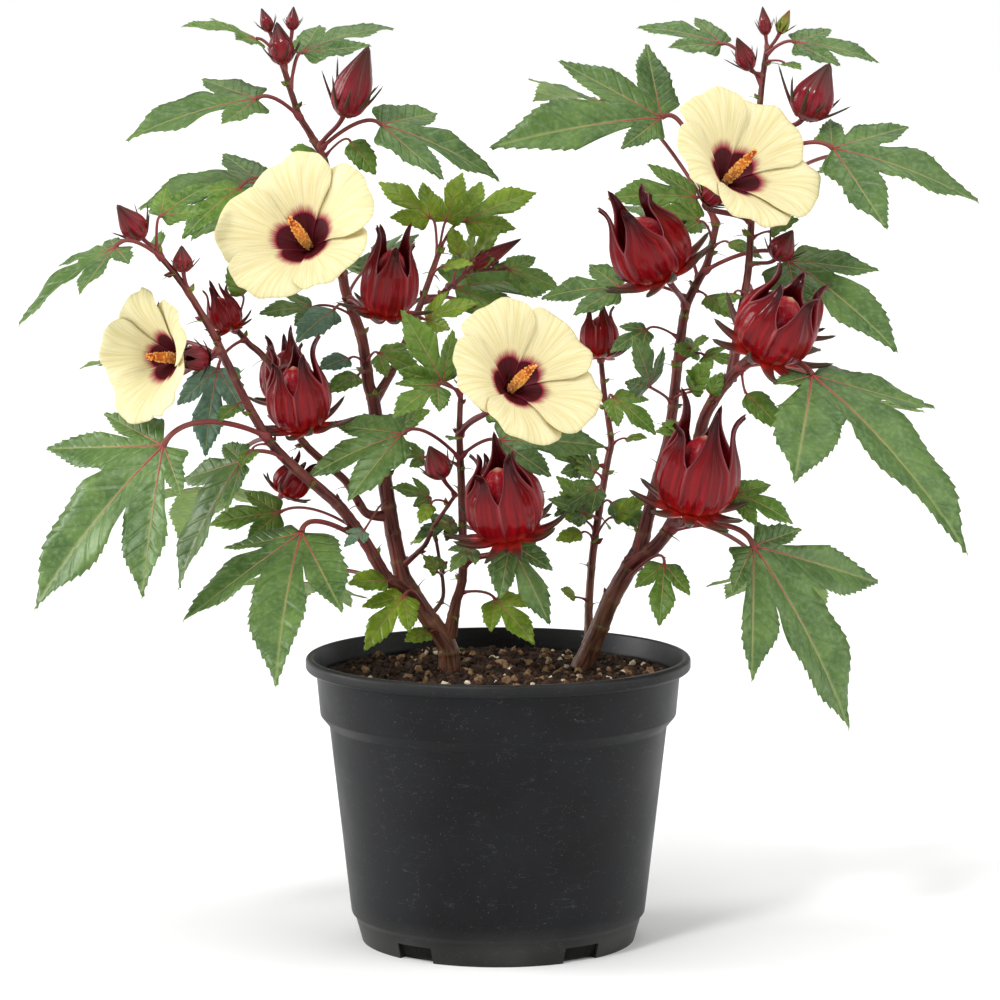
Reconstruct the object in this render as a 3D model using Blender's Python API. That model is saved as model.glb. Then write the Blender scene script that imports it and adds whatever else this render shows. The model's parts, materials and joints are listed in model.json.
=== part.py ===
"""A roselle shrub in flower and fruit, growing in a black nursery pot.

Metres, +Z up, front towards -Y. The origin is the centre of the pot's flat underside.
The pot and its filling are turned shapes. Two woody trunks fork into tapering boughs,
and each bough carries a mass of foliage: a stem with stalked leaves, flowers, fleshy
red calyces and buds fused to it.
"""

import itertools
import math
import random

import bmesh
import bpy
from mathutils import Matrix, Vector

for old in list(bpy.data.objects):
    bpy.data.objects.remove(old)

MM = 0.001
CLEAR = 0.0003            # the gap between two neighbouring solids
FUSED = 0.0               # no gap: the piece starts inside the stem that carries it

# Pot, in millimetres: radius, height
POT_SIDES = 36
POT_OUTSIDE = [(82, 0), (85.8, 14), (88.2, 17), (101, 130), (106.4, 136.5), (108.8, 163.4),
               (113.4, 163.2), (115, 164.6), (115, 169.6), (113.6, 171.2)]
POT_INSIDE = [(111.0, 171.2), (107.3, 160), (104.9, 137.2), (99.5, 130.4), (86.8, 17.4), (84.3, 14),
              (80.6, 2)]
NOTCH_TURNS = (36, 90, 144, 216, 270, 324)
NOTCH_WIDE = 24
NOTCH_LOW = (-92, -4)     # the cutter's near lower edge: to the back, up
NOTCH_HIGH = (-76, 9.5)   # its far upper edge
SOIL_TOP = 159
SOIL_PROFILE = [(80.1, 2.4), (83.9, 14.1), (86.4, 17.5), (99.1, 130.5), (104.4, 137.3), (106.6, SOIL_TOP)]

# The plant was laid out as it looks from in front, from this height and distance, in millimetres
EYE_DISTANCE = 2346
EYE_HEIGHT = 538

# Blades. The lobes of the usual leaves, and of some that have their own shape: angle and length. Then, by
# the number of lobes: where the margin starts beyond the outer lobes, half-widths, and depth of the notches
LOBES = {
    1: ((0, 1.0),),
    3: ((-41, 0.62), (0, 1.0), (41, 0.62)),
    5: ((-90, 0.42), (-46, 0.66), (0, 1.0), (46, 0.66), (90, 0.42)),
    "far_left": ((-71, 0.30), (-41, 0.74), (0, 1.0), (51, 0.68), (75, 0.42)),
    "side_left": ((-33, 0.42), (0, 1.0), (61, 0.74), (91, 0.42)),
    "front_left": ((-27, 0.70), (0, 1.0), (47, 0.76), (91, 0.44)),
    "upper_left": ((-45, 0.44), (0, 1.0), (59, 0.62)),
    "back_left": ((-43, 0.86), (0, 1.0), (63, 0.58)),
    "broad": ((-39, 0.84), (0, 1.0), (36, 0.74)),
    "front_middle": ((-30, 0.56), (0, 1.0), (36, 0.66)),
    "upper_middle": ((-33, 0.36), (0, 1.0), (43, 0.66), (99, 0.58)),
    "upper_right": ((-95, 0.40), (-47, 0.68), (0, 1.0), (55, 0.76)),
    "far_right": ((-55, 0.62), (0, 1.0), (55, 0.74), (99, 0.22)),
    "front_right": ((-75, 0.34), (-49, 0.84), (0, 1.0), (43, 0.66), (69, 0.30)),
}
OUTER_SINUS = {1: (72, 0.20), 3: (64, 0.17), 4: (50, 0.13), 5: (50, 0.12)}
HALF_WIDTH = {1: 0.26, 3: 0.225, 4: 0.17, 5: 0.165}
SINUS_AT = {3: 0.46, 4: 0.36, 5: 0.36}
SINUS_MOST = 0.52         # of the shorter of the two lobes
SHOULDER_AT = 0.53
SHOULDER_ROOM = 0.45      # the most of the way to the next lobe that a shoulder takes up
BLADE_THICK = 0.008       # half of the thickness at the midrib, for each metre of length
BLADE_SKIN = 0.00025
ARCH = 0.10
CUP = 0.28
FOLD = 0.05

# Flowers
PETALS = 5
PETAL_RIM = ((0.98, -22), (1.0, 0), (0.98, 22))
PETAL_SINUS = 0.84
PETAL_MIDDLE = 0.6
PETAL_THICK = 0.0007
FUNNEL_CURVE = 0.6
CUP_DEPTHS = (0.012, 0.004)    # the green cup behind the petals
CUP_RADII = (0.0045, 0.0075, 0.0080)
CUP_REACH = 0.24          # how far up the bowl the cup's middle reaches, in shares of the radius
FLOWER_STALK = 0.0015
SEPAL_LENGTH = 0.014
SEPAL_RADIUS = 0.0026
COLUMN = (0.20, 0.85)     # where it starts and ends, in shares of the flower's radius
COLUMN_RADII = (0.0022, 0.0018)

# Calyces and buds: share of the length, share of the half-width. A bract: where it starts along the
# length, how far out, and its radius
CALYX_SHAPE = ((0.0, 0.40), (0.16, 0.92), (0.45, 1.0))
SEPAL_TIP = (1.0, 0.72)
SEPAL_NOTCH = (0.64, 0.72)
CALYX_HEART = 0.60
CALYX_BRACT = (0.06, 0.4, 0.08)
BUD_SHAPE = ((0.0, 0.45), (0.28, 1.0), (0.62, 0.72), (1.0, 0.0))
BUD_BRACT = (0.08, 0.4, 0.10)
BRACT_SKIN = 0.0003
FRUIT_STALK = 0.0011
BUD_STALK = 0.0008
STALK_SHARE = 0.03        # how much thicker the stalk is for a wide fruit or bud
SEPALS = 5
CALYX_BRACTS = 6
BUD_BRACTS = 3

# Leaf stalks: the rise of their arc, and their radius for a blade of no length and for each metre of it
STALK_RISE = 0.25
STALK_THIN = 0.0006
STALK_GROWTH = 0.011

# Small leaves at the joints of each stem, by a seeded rule
SEED = 11
JOINT_STEP = 0.036
JOINT_TURN = 137.5
JOINT_SWAY = 20
SMALL_RISE = (0.1, 0.9)
SMALL_SAG = (-0.7, 0.3)
SMALL_LEAF = (0.013, 0.024)
SMALL_STALK = (0.007, 0.013)

# Root flare: how much wider the trunk is at the soil, and how fast that fades from one point to the next
FLARE = 0.22
FLARE_FADE = 1.7
TRUNK_SIDES = 12
BOUGH_SIDES = 6
TWIG_SIDES = 5
KNEE_ROOM = 2.2           # how far off its carrier's skin a side stem takes up its own path, in radii

# How finely a stem is searched, and how far along it its direction is taken
SEARCH_STEPS = 400
TANGENT_STEP = 0.02

# Stems, from their foot: what carries it, radii, the point where its foliage starts, and points in
# millimetres (to the right, to the back, up) as seen from in front
STEMS = {
    "trunk_left": (None, 5.9, 5.2, 4, [
        (-29, 15, 159.6), (-31, 14, 178), (-42, 12, 194), (-50, 10, 206), (-57, 8, 218)]),
    "trunk_right": (None, 5.9, 5.2, 5, [
        (50, 25, 159.6), (55, 24, 175), (61, 22, 189), (67, 20, 204), (77, 16, 222), (84, 13, 234)]),
    "tall_left": ("trunk_left", 5.0, 1.7, 4, [
        (-57, 8, 218), (-63, 12, 246), (-69, 18, 288), (-74, 24, 324), (-77, 27, 334), (-81, 32, 362),
        (-91, 38, 392), (-96, 44, 431), (-103, 50, 467), (-117, 54, 492), (-126, 58, 520)]),
    "outer_left": ("trunk_left", 4.3, 1.6, 4, [
        (-51, 10, 207), (-66, 1, 217), (-76, -7, 234), (-94, -20, 260), (-118, -34, 281), (-136, -45, 300),
        (-153, -52, 330), (-168, -58, 362), (-188, -64, 395), (-204, -68, 414)]),
    "inner_left": ("tall_left", 2.8, 1.7, 2, [
        (-66, 14, 255), (-79, 9, 257), (-91, 8, 276), (-118, 8, 302), (-134, 8, 343), (-147, 8, 357),
        (-156, 8, 367)]),
    "centre": ("trunk_left", 3.5, 1.5, 1, [
        (-29, 14, 183), (-25, 8, 204), (-21, 2, 222), (-22, -8, 276), (-23, -13, 306), (-22, -16, 331)]),
    "slim_right": ("trunk_right", 2.7, 1.6, 1, [
        (55, 24, 175), (54, 38, 198), (57, 50, 237), (65, 66, 288), (67, 70, 300), (63, 76, 327),
        (61, 80, 347)]),
    "inner_right": ("trunk_right", 4.2, 2.0, 2, [
        (84, 13, 234), (93, 16, 270), (101, 20, 300), (105, 26, 333), (111, 34, 379), (123, 39, 404),
        (129, 44, 430)]),
    "outer_right": ("trunk_right", 4.4, 3.0, 5, [
        (79, 15, 226), (93, 5, 236), (104, -1, 252), (116, -12, 285), (123, -20, 315), (139, -30, 339),
        (150, -38, 349)]),
    "top_right": ("outer_right", 2.7, 1.6, 1, [
        (138, -29, 336), (144, -8, 378), (148, 6, 404), (151, 30, 463), (155, 45, 510), (158, 50, 532)]),
    "bright": ("tall_left", 2.7, 1.7, 0, [
        (-74, 24, 323), (-61, 40, 345), (-46, 64, 381), (-34, 86, 415)]),
    "bright_side": ("bright", 1.6, 1.2, 0, [
        (-46, 65, 382), (-34, 76, 386), (-17, 96, 400), (4, 110, 402)]),
    "front_twig": ("tall_left", 1.6, 1.1, 0, [
        (-58, 8, 224), (-44, -6, 237), (-38, -14, 249), (-25, -26, 268)]),
    "thin_twig": ("trunk_left", 1.3, 1.0, 0, [
        (-42, 12, 194), (-33, 22, 206), (-35, 24, 228), (-41, 28, 264)]),
}

# Leaves of each mass: height of the joint, foot of the blade, tip of the middle lobe, lobes, and the
# way the upper side faces in degrees: round from the front (180 is the back), and above the level
LEAVES = {
    "tall_left": [
        (520, (-142, 50, 537), (-186, 25, 544), 3, (-15, 66)),
        (491, (-142, 38, 502), (-220, 29, 477), "upper_left", (-20, 60)),
        (443, (-139, 75, 453), (-213, 71, 437), "back_left", (-50, 40)),
        (434, (-152, 18, 450), (-187, -5, 419), 3, (-15, 40)),
        (508, (-115, 62, 529), (-61, 100, 543), 3, (5, 74)),
        (467, (-87, 58, 477), (-72, 52, 457), 1, (-10, 40)),
        (472, (-69, 40, 487), (1, 70, 453), 3, (-10, 55)),
        (467, (-105, 45, 467), (-123, 30, 472), 1, (-10, 40)),
        (373, (-110, 18, 379), (-142, 6, 375), 3, (-10, 40)),
        (376, (-97, 12, 378), (-120, -8, 358), 1, (-10, 40)),
        (345, (-88, 18, 349), (-107, 5, 342), 1, (-10, 40)),
        (340, (-83, 10, 339), (-101, -5, 328), 1, (-10, 40)),
        (410, (-105, 90, 408), (-125, 170, 385), 5, (190, 40)),
        (385, (-70, 95, 405), (-60, 150, 420), 3, (185, 40)),
    ],
    "outer_left": [
        (290, (-152, -58, 288), (-191, -61, 210), "side_left", (-50, 40)),
        (302, (-199, -95, 297), (-277, -85, 198), "far_left", (0, 50)),
        (297, (-146, -52, 295), (-153, -66, 284), 1, (-15, 40)),
        (321, (-155, -60, 321), (-166, -74, 311), 1, (-15, 40)),
        (412, (-199, -64, 433), (-167, -40, 452), 3, (-20, 40)),
        (408, (-226, -90, 415), (-284, -97, 367), 5, (-30, 75)),
        (300, (-165, 30, 272), (-190, 110, 237), 5, (195, 40)),
        (345, (-205, 15, 352), (-218, 90, 335), 5, (200, 40)),
    ],
    "inner_left": [
        (366, (-151, 5, 386), (-160, 0, 404), 1, (-15, 40)),
        (360, (-166, -12, 343), (-174, -22, 290), 3, (-15, 40)),
        (340, (-112, 80, 335), (-122, 140, 320), 3, (190, 40)),
    ],
    "bright": [
        (410, (-40, 92, 432), (-71, 105, 453), 3, (-5, 40)),
        (413, (-31, 98, 430), (-21, 115, 459), 3, (-5, 40)),
        (412, (-20, 104, 430), (23, 125, 447), 3, (0, 40)),
        (373, (-43, 60, 372), (-11, 50, 382), 3, (-5, 40)),
        (385, (15, 150, 350), (25, 215, 320), 5, (180, 40)),
    ],
    "bright_side": [
        (398, (-17, 100, 406), (3, 92, 428), 3, (0, 40)),
        (392, (-23, 88, 410), (-28, 92, 427), 1, (0, 40)),
        (401, (6, 114, 402), (37, 128, 389), 3, (0, 40)),
        (388, (-26, 110, 391), (34, 160, 391), 3, (-5, 40)),
    ],
    "centre": [
        (228, (-16, -22, 236), (-29, -38, 221), 3, (0, 40)),
        (233, (7, -28, 239), (31, -41, 189), "front_middle", (0, 30)),
        (224, (-3, -8, 227), (-1, -14, 215), 1, (0, 40)),
        (289, (-57, -34, 304), (-114, -25, 277), "broad", (-10, 50)),
        (326, (-36, -34, 333), (-63, -62, 313), 3, (-5, 40)),
        (328, (-33, -20, 334), (-58, -34, 378), 3, (-5, 40)),
        (290, (1, -22, 300), (64, -14, 296), 3, (0, 40)),
        (208, (-2, 0, 205), (22, -22, 177), 3, (0, 40)),
        (262, (0, 80, 262), (12, 140, 262), 3, (180, 40)),
    ],
    "front_twig": [
        (262, (-40, -34, 262), (-47, -44, 250), 1, (-5, 40)),
    ],
    "thin_twig": [
        (261, (-41, 20, 266), (-64, 10, 272), 3, (-5, 40)),
        (252, (-36, 28, 254), (-24, 30, 249), 1, (-5, 40)),
        (219, (-36, 12, 221), (-45, 4, 231), 1, (-5, 40)),
    ],
    "inner_right": [
        (321, (90, 8, 332), (79, -16, 363), 3, (10, 30)),
        (384, (72, 48, 391), (25, 72, 384), 3, (10, 45)),
        (389, (123, 30, 386), (140, 15, 372), 1, (10, 40)),
        (400, (171, 22, 407), (237, -14, 352), 3, (20, 40)),
        (419, (119, 30, 430), (93, 15, 437), 3, (10, 40)),
        (426, (117, 45, 444), (64, 25, 443), 3, (10, 40)),
        (428, (96, 55, 491), (-6, 32, 473), "upper_middle", (-10, 30)),
        (324, (114, 10, 329), (127, -5, 347), 1, (10, 40)),
        (351, (114, 20, 355), (125, 8, 361), 1, (10, 40)),
        (395, (100, 110, 430), (95, 180, 430), 3, (170, 40)),
        (428, (60, 120, 500), (20, 190, 500), 3, (175, 60)),
    ],
    "outer_right": [
        (344, (147, -30, 328), (168, -36, 306), 1, (15, 40)),
        (343, (186, -60, 339), (280, -111, 231), "far_right", (0, 80)),
        (342, (200, 40, 325), (225, 120, 300), 5, (160, 40)),
    ],
    "top_right": [
        (419, (160, 12, 424), (178, 0, 431), 1, (15, 40)),
        (460, (197, 5, 473), (284, 9, 440), "upper_right", (30, 50)),
        (510, (131, 55, 534), (81, 75, 543), 3, (15, 60)),
        (523, (168, 42, 523), (178, 30, 519), 1, (15, 60)),
        (528, (174, 48, 535), (224, 58, 523), 3, (-10, 60)),
        (440, (210, 80, 465), (240, 150, 455), 5, (160, 40)),
    ],
    "slim_right": [
        (245, (52, 58, 252), (36, 66, 270), 3, (5, 40)),
        (240, (68, 40, 254), (89, 30, 264), 1, (5, 40)),
        (240, (50, 44, 245), (34, 38, 240), 1, (5, 40)),
        (203, (46, 34, 206), (37, 26, 211), 1, (5, 40)),
        (312, (68, 56, 326), (94, 46, 303), 3, (10, 40)),
    ],
}

# Calyces and buds: height of the joint, foot, tip and half of the width
CALYCES = {
    "tall_left": [
        (384, (-67, -5, 375), (-59, -25, 430), 17),
    ],
    "inner_left": [
        (306, (-116, -22, 307), (-124, -40, 359), 19),
        (365, (-158, 8, 366), (-169, 4, 393), 10),
        (330, (-125, 40, 322), (-128, 60, 366), 16),
    ],
    "outer_left": [
        (284, (-128, -14, 268), (-113, -14, 290), 11),
        (350, (-200, -12, 345), (-206, 8, 384), 13),
    ],
    "centre": [
        (225, (7, -38, 243), (-4, -62, 300), 23),
        (240, (4, 40, 250), (-2, 62, 298), 18),
    ],
    "inner_right": [
        (379, (99, 5, 398), (73, -10, 446), 24),
    ],
    "outer_right": [
        (349, (156, -50, 352), (181, -72, 398), 24),
    ],
    "top_right": [
        (392, (172, 38, 362), (182, 66, 402), 17),
    ],
    "slim_right": [
        (347, (60, 78, 349), (59, 84, 384), 12),
    ],
}
BUDS = {
    "tall_left": [
        (473, (-91, 40, 492), (-76, 25, 533), 12),
        (520, (-126, 58, 522), (-130, 60, 547), 8),
        (516, (-134, 62, 541), (-139, 64, 555), 4),
        (518, (-121, 55, 542), (-120, 54, 556), 4),
    ],
    "outer_left": [
        (414, (-210, -72, 420), (-225, -80, 440), 8),
        (388, (-186, -66, 400), (-187, -66, 416), 6),
    ],
    "bright_side": [
        (400, (-16, 94, 403), (14, 95, 420), 5),
    ],
    "front_twig": [
        (267, (-33, -40, 278), (-41, -48, 297), 8),
    ],
    "centre": [
        (331, (-21, -17, 332), (-20, -19, 341), 4),
    ],
    "top_right": [
        (485, (179, 30, 490), (195, 25, 523), 13),
        (515, (148, 44, 519), (140, 36, 538), 6),
        (531, (157, 50, 539), (155, 52, 556), 4),
        (528, (165, 52, 540), (171, 54, 554), 4),
        (404, (164, 0, 408), (174, -8, 425), 8),
    ],
}

# Flowers: height of the joint, foot, the way it looks, radius, and depth of the bowl in radii
FLOWERS = {
    "tall_left": [
        (398, (-109, -18, 411), (-0.3, -0.79, 0.535), 49, 0.75),
        (440, (-116, 96, 418), (-0.2, 0.93, 0.3), 38, 0.62),
    ],
    "outer_left": [
        (355, (-181, -66, 349), (-0.74, -0.66, 0.08), 39, 1.0),
    ],
    "centre": [
        (303, (4, -69, 327), (0.42, -0.75, 0.51), 46.5, 0.75),
    ],
    "top_right": [
        (430, (129, -5, 448), (0.5, -0.64, 0.585), 49, 0.8),
        (445, (141, 83, 459), (0.3, 0.9, 0.3), 36, 0.62),
    ],
}

# Leaves and fruit on the bare stretches, each a solid of its own: carrier, then as above
LOW_LEAVES = {
    "leaf_front_left": ("outer_left", (237, (-117, -45, 245), (-133, -131, 151), "front_left", (-30, 60))),
    "leaf_side_left": ("outer_left", (245, (-130, 10, 257), (-173, 15, 249), 3, (-15, 40))),
    "leaf_back_left": ("trunk_left", (200, (-110, 80, 215), (-140, 150, 190), 5, (190, 40))),
    "leaf_foot_left": ("trunk_left", (190, (-56, -12, 207), (-80, -30, 173), 3, (-5, 40))),
    "leaf_fork_left": ("trunk_left", (197, (-66, -14, 216), (-90, -27, 214), 1, (-5, 40))),
    "leaf_root_left": ("trunk_left", (181, (-41, 0, 185), (-56, -14, 179), 1, (-5, 40))),
    "leaf_blue_left": ("tall_left", (262, (-80, -34, 246), (-92, -44, 236), 3, (-10, 40))),
    "leaf_front_right": ("outer_right", (245, (152, -30, 237), (210, -18, 125), "front_right", (40, 20))),
    "leaf_inner_right": ("trunk_right", (207, (99, -14, 226), (96, -36, 188), 3, (10, 40))),
    "leaf_back_right": ("outer_right", (250, (160, 60, 222), (195, 135, 190), 5, (165, 40))),
    "leaf_fruit_right": ("outer_right", (268, (141, -34, 269), (176, -30, 250), 3, (15, 40))),
}
LOW_CALYX = ("outer_right", (246, (114, -46, 258), (127, -66, 321), 24))

COLOURS = {
    "pot": ((0.035, 0.036, 0.040), 0.55),
    "soil": ((0.040, 0.022, 0.013), 0.95),
    "wood": ((0.09, 0.035, 0.030), 0.7),
    "leaf": ((0.075, 0.16, 0.035), 0.5),
    "calyx": ((0.26, 0.008, 0.014), 0.3),
}


def placed(x, y, z):
    """The point, in metres, at depth y that shows from in front at x and z."""
    spread = 1 + y / EYE_DISTANCE
    return Vector((x * spread, y, EYE_HEIGHT + (z - EYE_HEIGHT) * spread)) * MM


def along_path(points, place):
    """The point at a place on a smooth curve through the points: 0 is the first, 1 the second, and so on."""
    span = min(int(place), len(points) - 2)
    f = place - span
    b, c = points[span], points[span + 1]
    a = points[span - 1] if span > 0 else b * 2 - c
    d = points[span + 2] if span + 2 < len(points) else c * 2 - b
    bend = (2 * a - 5 * b + 4 * c - d) * f * f
    return 0.5 * (2 * b + (c - a) * f + bend + (3 * b - a - 3 * c + d) * f ** 3)


class Stem:
    """One stem's axis and thickness, and where it starts on what carries it."""

    def __init__(self, name):
        carrier, thick, thin, self.bare, rows = STEMS[name]
        self.name = name
        self.points = [placed(*row) for row in rows]
        if carrier is None:
            self.points[0].z = SOIL_TOP * MM + CLEAR
        self.last = len(rows) - 1
        self.radii = (thick * MM, thin * MM)
        self.carrier = STEM_OF.get(carrier)

    def point(self, place):
        return along_path(self.points, place)

    def radius(self, place):
        thick, thin = self.radii
        straight = thick + (thin - thick) * place / self.last
        return straight if self.carrier else straight * (1 + FLARE * math.exp(-FLARE_FADE * place))

    def tangent(self, place):
        after = self.point(min(place + TANGENT_STEP, self.last))
        before = self.point(max(place - TANGENT_STEP, 0))
        return (after - before).normalized()

    def places(self):
        return [self.last * n / SEARCH_STEPS for n in range(SEARCH_STEPS + 1)]

    def nearest(self, point):
        """The place on the stem that is nearest to a point."""
        return min(self.places(), key=lambda place: (self.point(place) - point).length)

    def distance(self, point):
        return (self.point(self.nearest(point)) - point).length

    def at_height(self, height):
        """The place where the stem, as seen from in front, passes a height in millimetres."""
        return min(self.places(), key=lambda place: abs(seen_height(self.point(place)) - height))


def seen_height(point):
    spread = 1 + point.y / (EYE_DISTANCE * MM)
    return EYE_HEIGHT + (point.z / MM - EYE_HEIGHT) / spread


STEM_OF = {}
for stem_name in STEMS:
    STEM_OF[stem_name] = Stem(stem_name)


class Kept:
    """The space that limbs, leaves and fruit already fill, as balls along them."""

    def __init__(self):
        self.balls = []

    def add(self, points, radius, owner):
        self.balls += [(point, radius, owner) for point in points]

    def free(self, points, radius, owner):
        return all((p - q).length > radius + r for p in points for q, r, who in self.balls if who != owner)


KEPT = Kept()


def across(direction):
    """Two directions square to this one and to each other."""
    side = direction.cross(Vector((0.0, 0.0, 1.0)))
    if side.length < 0.05:
        side = Vector((1.0, 0.0, 0.0))
    side.normalize()
    return side, side.cross(direction).normalized()


def frames(points, ends, last_side):
    """The two directions across a path at each of its points, turned as little as possible along it."""
    aheads = []
    for n in range(len(points)):
        before = points[max(n - 1, 0)]
        after = points[min(n + 1, len(points) - 1)]
        aheads.append((after - before).normalized())
    aheads[0] = ends[0] or aheads[0]
    aheads[-1] = ends[1] or aheads[-1]
    side = last_side or across(aheads[-1])[0]
    found = []
    for ahead in reversed(aheads):
        side = (side - ahead * side.dot(ahead)).normalized()
        found.append((side, side.cross(ahead).normalized()))
    return found[::-1]


def closed_object(name, corners, faces):
    """A mesh object with its faces turned outwards and cut into triangles."""
    mesh = bpy.data.meshes.new(name)
    mesh.from_pydata([tuple(corner) for corner in corners], [], faces)
    shape = bmesh.new()
    shape.from_mesh(mesh)
    bmesh.ops.recalc_face_normals(shape, faces=shape.faces)
    bmesh.ops.triangulate(shape, faces=shape.faces)
    if shape.calc_volume(signed=True) < 0:
        bmesh.ops.reverse_faces(shape, faces=shape.faces)
    shape.to_mesh(mesh)
    shape.free()
    made = bpy.data.objects.new(name, mesh)
    bpy.context.scene.collection.objects.link(made)
    return made


def tube(name, points, radii, sides, ends=(None, None)):
    """A round solid along a path. Its ends may be set to face given ways, and a radius of 0 is a point."""
    corners, rings = ring_corners(points, radii, sides, ends)
    faces = []
    for low, high in zip(rings, rings[1:]):
        faces += band(low, high)
    faces += [tuple(ring) for ring in (rings[0], rings[-1]) if len(ring) > 1]
    return closed_object(name, corners, faces)


def ring_corners(points, radii, sides, ends=(None, None), last_side=None):
    """The corners of rings across a path, and each ring as a list of their numbers."""
    corners = []
    rings = []
    for point, radius, (side, up) in zip(points, radii, frames(points, ends, last_side)):
        if radius == 0:
            rings.append([len(corners)])
            corners.append(point)
            continue
        ring = []
        for s in range(sides):
            turn = math.tau * s / sides
            ring.append(len(corners))
            corners.append(point + (side * math.cos(turn) + up * math.sin(turn)) * radius)
        rings.append(ring)
    return corners, rings


def band(low, high):
    """The faces between two rings, the second of which may be a single point."""
    count = len(low)
    if len(high) == 1:
        return [(low[s], low[(s + 1) % count], high[0]) for s in range(count)]
    return [(low[s], low[(s + 1) % count], high[(s + 1) % count], high[s]) for s in range(count)]


def bezier(a, b, c, d, count):
    points = []
    for n in range(count + 1):
        t = n / count
        s = 1 - t
        points.append(a * s ** 3 + b * (3 * s * s * t) + c * (3 * s * t * t) + d * t ** 3)
    return points


def skin_start(carrier, place, towards):
    """A point just clear of a stem's skin on the side towards a target, and the way the skin faces there."""
    axis = carrier.tangent(place)
    centre = carrier.point(place)
    out = towards - centre
    out = (out - axis * out.dot(axis)).normalized()
    low, high = max(place - 0.1, 0), min(place + 0.1, carrier.last)
    slope = (carrier.radius(high) - carrier.radius(low)) / (carrier.point(high) - carrier.point(low)).length
    facing = (out - axis * slope).normalized()
    return centre + out * carrier.radius(place) + facing * CLEAR, facing


def start_on_skin(stem, points, radii):
    """A side stem's path from its carrier's skin: out of it first, then along its own way."""
    carrier = stem.carrier
    place = carrier.nearest(stem.points[0])
    room = carrier.radius(place) + KNEE_ROOM * radii[0]
    clear = [n for n, point in enumerate(points) if carrier.distance(point) > room]
    start, facing = skin_start(carrier, place, points[clear[0]])
    along = (points[clear[0]] - start).normalized()
    knee = start + (facing + along * 0.5) * radii[0]
    return [start, knee] + points[clear[0]:], [radii[0] * 1.1] + [radii[0]] + radii[clear[0]:], facing


def stem_rings(stem, start, end, step=0.5):
    count = max(1, round((end - start) / step))
    places = [start + (end - start) * n / count for n in range(count + 1)]
    return [stem.point(p) for p in places], [stem.radius(p) for p in places]


def limb(name, stem, start, end, sides):
    """A stretch of a stem. One that starts on a carrier starts just clear of the carrier's skin."""
    points, radii = stem_rings(stem, start, end)
    if start > 0:
        facing = stem.tangent(start)
        points[0] = points[0] + facing * CLEAR
    elif is_tip(stem):
        facing = stem.carrier.tangent(stem.carrier.last)
        points[0] = stem.carrier.points[-1] + facing * CLEAR
    else:
        points, radii, facing = start_on_skin(stem, points, radii)
    return tube(name, points, radii, sides, (facing, stem.tangent(end)))


def is_tip(stem):
    """Whether the stem goes on from its carrier's cut tip, not from its side."""
    return (stem.points[0] - stem.carrier.points[-1]).length < CLEAR


def trunk(name, stem):
    """A trunk with its root flare, from the flat cut at the soil to the fork."""
    points, radii = stem_rings(stem, 0, stem.last)
    return tube(name, points, radii, TRUNK_SIDES, (Vector((0.0, 0.0, 1.0)), stem.tangent(stem.last)))


class Blade:
    """The curved sheet that a leaf's outline lies on."""

    def __init__(self, foot, tip, faces):
        self.foot = foot
        self.length = (tip - foot).length
        self.ahead = (tip - foot).normalized()
        turn, rise = (math.radians(angle) for angle in faces)
        look = Vector((math.sin(turn) * math.cos(rise), -math.cos(turn) * math.cos(rise), math.sin(rise)))
        self.up = (look - self.ahead * look.dot(self.ahead)).normalized()
        self.side = self.ahead.cross(self.up)

    def at(self, angle, reach, lift=0.0):
        """The point at an angle from the middle lobe, and a distance from the foot in blade lengths."""
        p = reach * math.cos(math.radians(angle))
        q = reach * math.sin(math.radians(angle))
        rise = self.length * (ARCH * 4 * p * (1 - p) - CUP * q * q) + lift
        return self.foot + (self.ahead * p + self.side * q) * self.length + self.up * rise


def blade_faces(blade, lobes, stalk_end):
    """A thin lens-shaped blade of one to five pointed lobes, folded a little along each midrib.

    The stalk's last ring, three corners from the top round, takes the place of the blade's foot.
    """
    thick = BLADE_SKIN + blade.length * BLADE_THICK
    rows = LOBES[lobes]
    count = len(rows)
    half_width = HALF_WIDTH[count]
    beyond, end_reach = OUTER_SINUS[count]
    sinuses = [(rows[0][0] - beyond, end_reach)]
    for (angle, reach), (angle_2, reach_2) in zip(rows, rows[1:]):
        depth = min(SINUS_AT[count] * (reach + reach_2) / 2, SINUS_MOST * min(reach, reach_2))
        sinuses.append(((angle + angle_2) / 2, depth))
    sinuses.append((rows[-1][0] + beyond, end_reach))
    corners = [blade.at(0, 0.04, thick), blade.at(0, 0.04, -thick)]
    corners += [blade.at(angle, reach) for angle, reach in sinuses]
    base = max(stalk_end) + 1
    over, under, first_sinus = base, base + 1, base + 2
    top, low, high = stalk_end
    last_sinus = first_sinus + count
    faces = [(over, top, low), (over, low, first_sinus), (over, last_sinus, high), (over, high, top),
             (under, first_sinus, low), (under, low, high), (under, high, last_sinus)]
    lean = math.degrees(math.atan2(half_width, SHOULDER_AT))
    for n, (angle, reach) in enumerate(rows):
        out = reach * math.hypot(half_width, SHOULDER_AT)
        low = min(lean, SHOULDER_ROOM * (angle - rows[n - 1][0])) if n else lean
        high = min(lean, SHOULDER_ROOM * (rows[n + 1][0] - angle)) if n + 1 < count else lean
        start = base + len(corners)
        fold = -FOLD * blade.length * reach * half_width / HALF_WIDTH[5]
        corners += [blade.at(angle - low, out), blade.at(angle, reach), blade.at(angle + high, out),
                    blade.at(angle, reach * SHOULDER_AT, fold + thick),
                    blade.at(angle, reach * SHOULDER_AT, fold - thick)]
        for hub, middle in ((over, start + 3), (under, start + 4)):
            loop = [hub, first_sinus + n, start, start + 1, start + 2, first_sinus + n + 1]
            faces += [(middle, a, b) for a, b in zip(loop, loop[1:] + loop[:1])]
    return corners, faces


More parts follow.
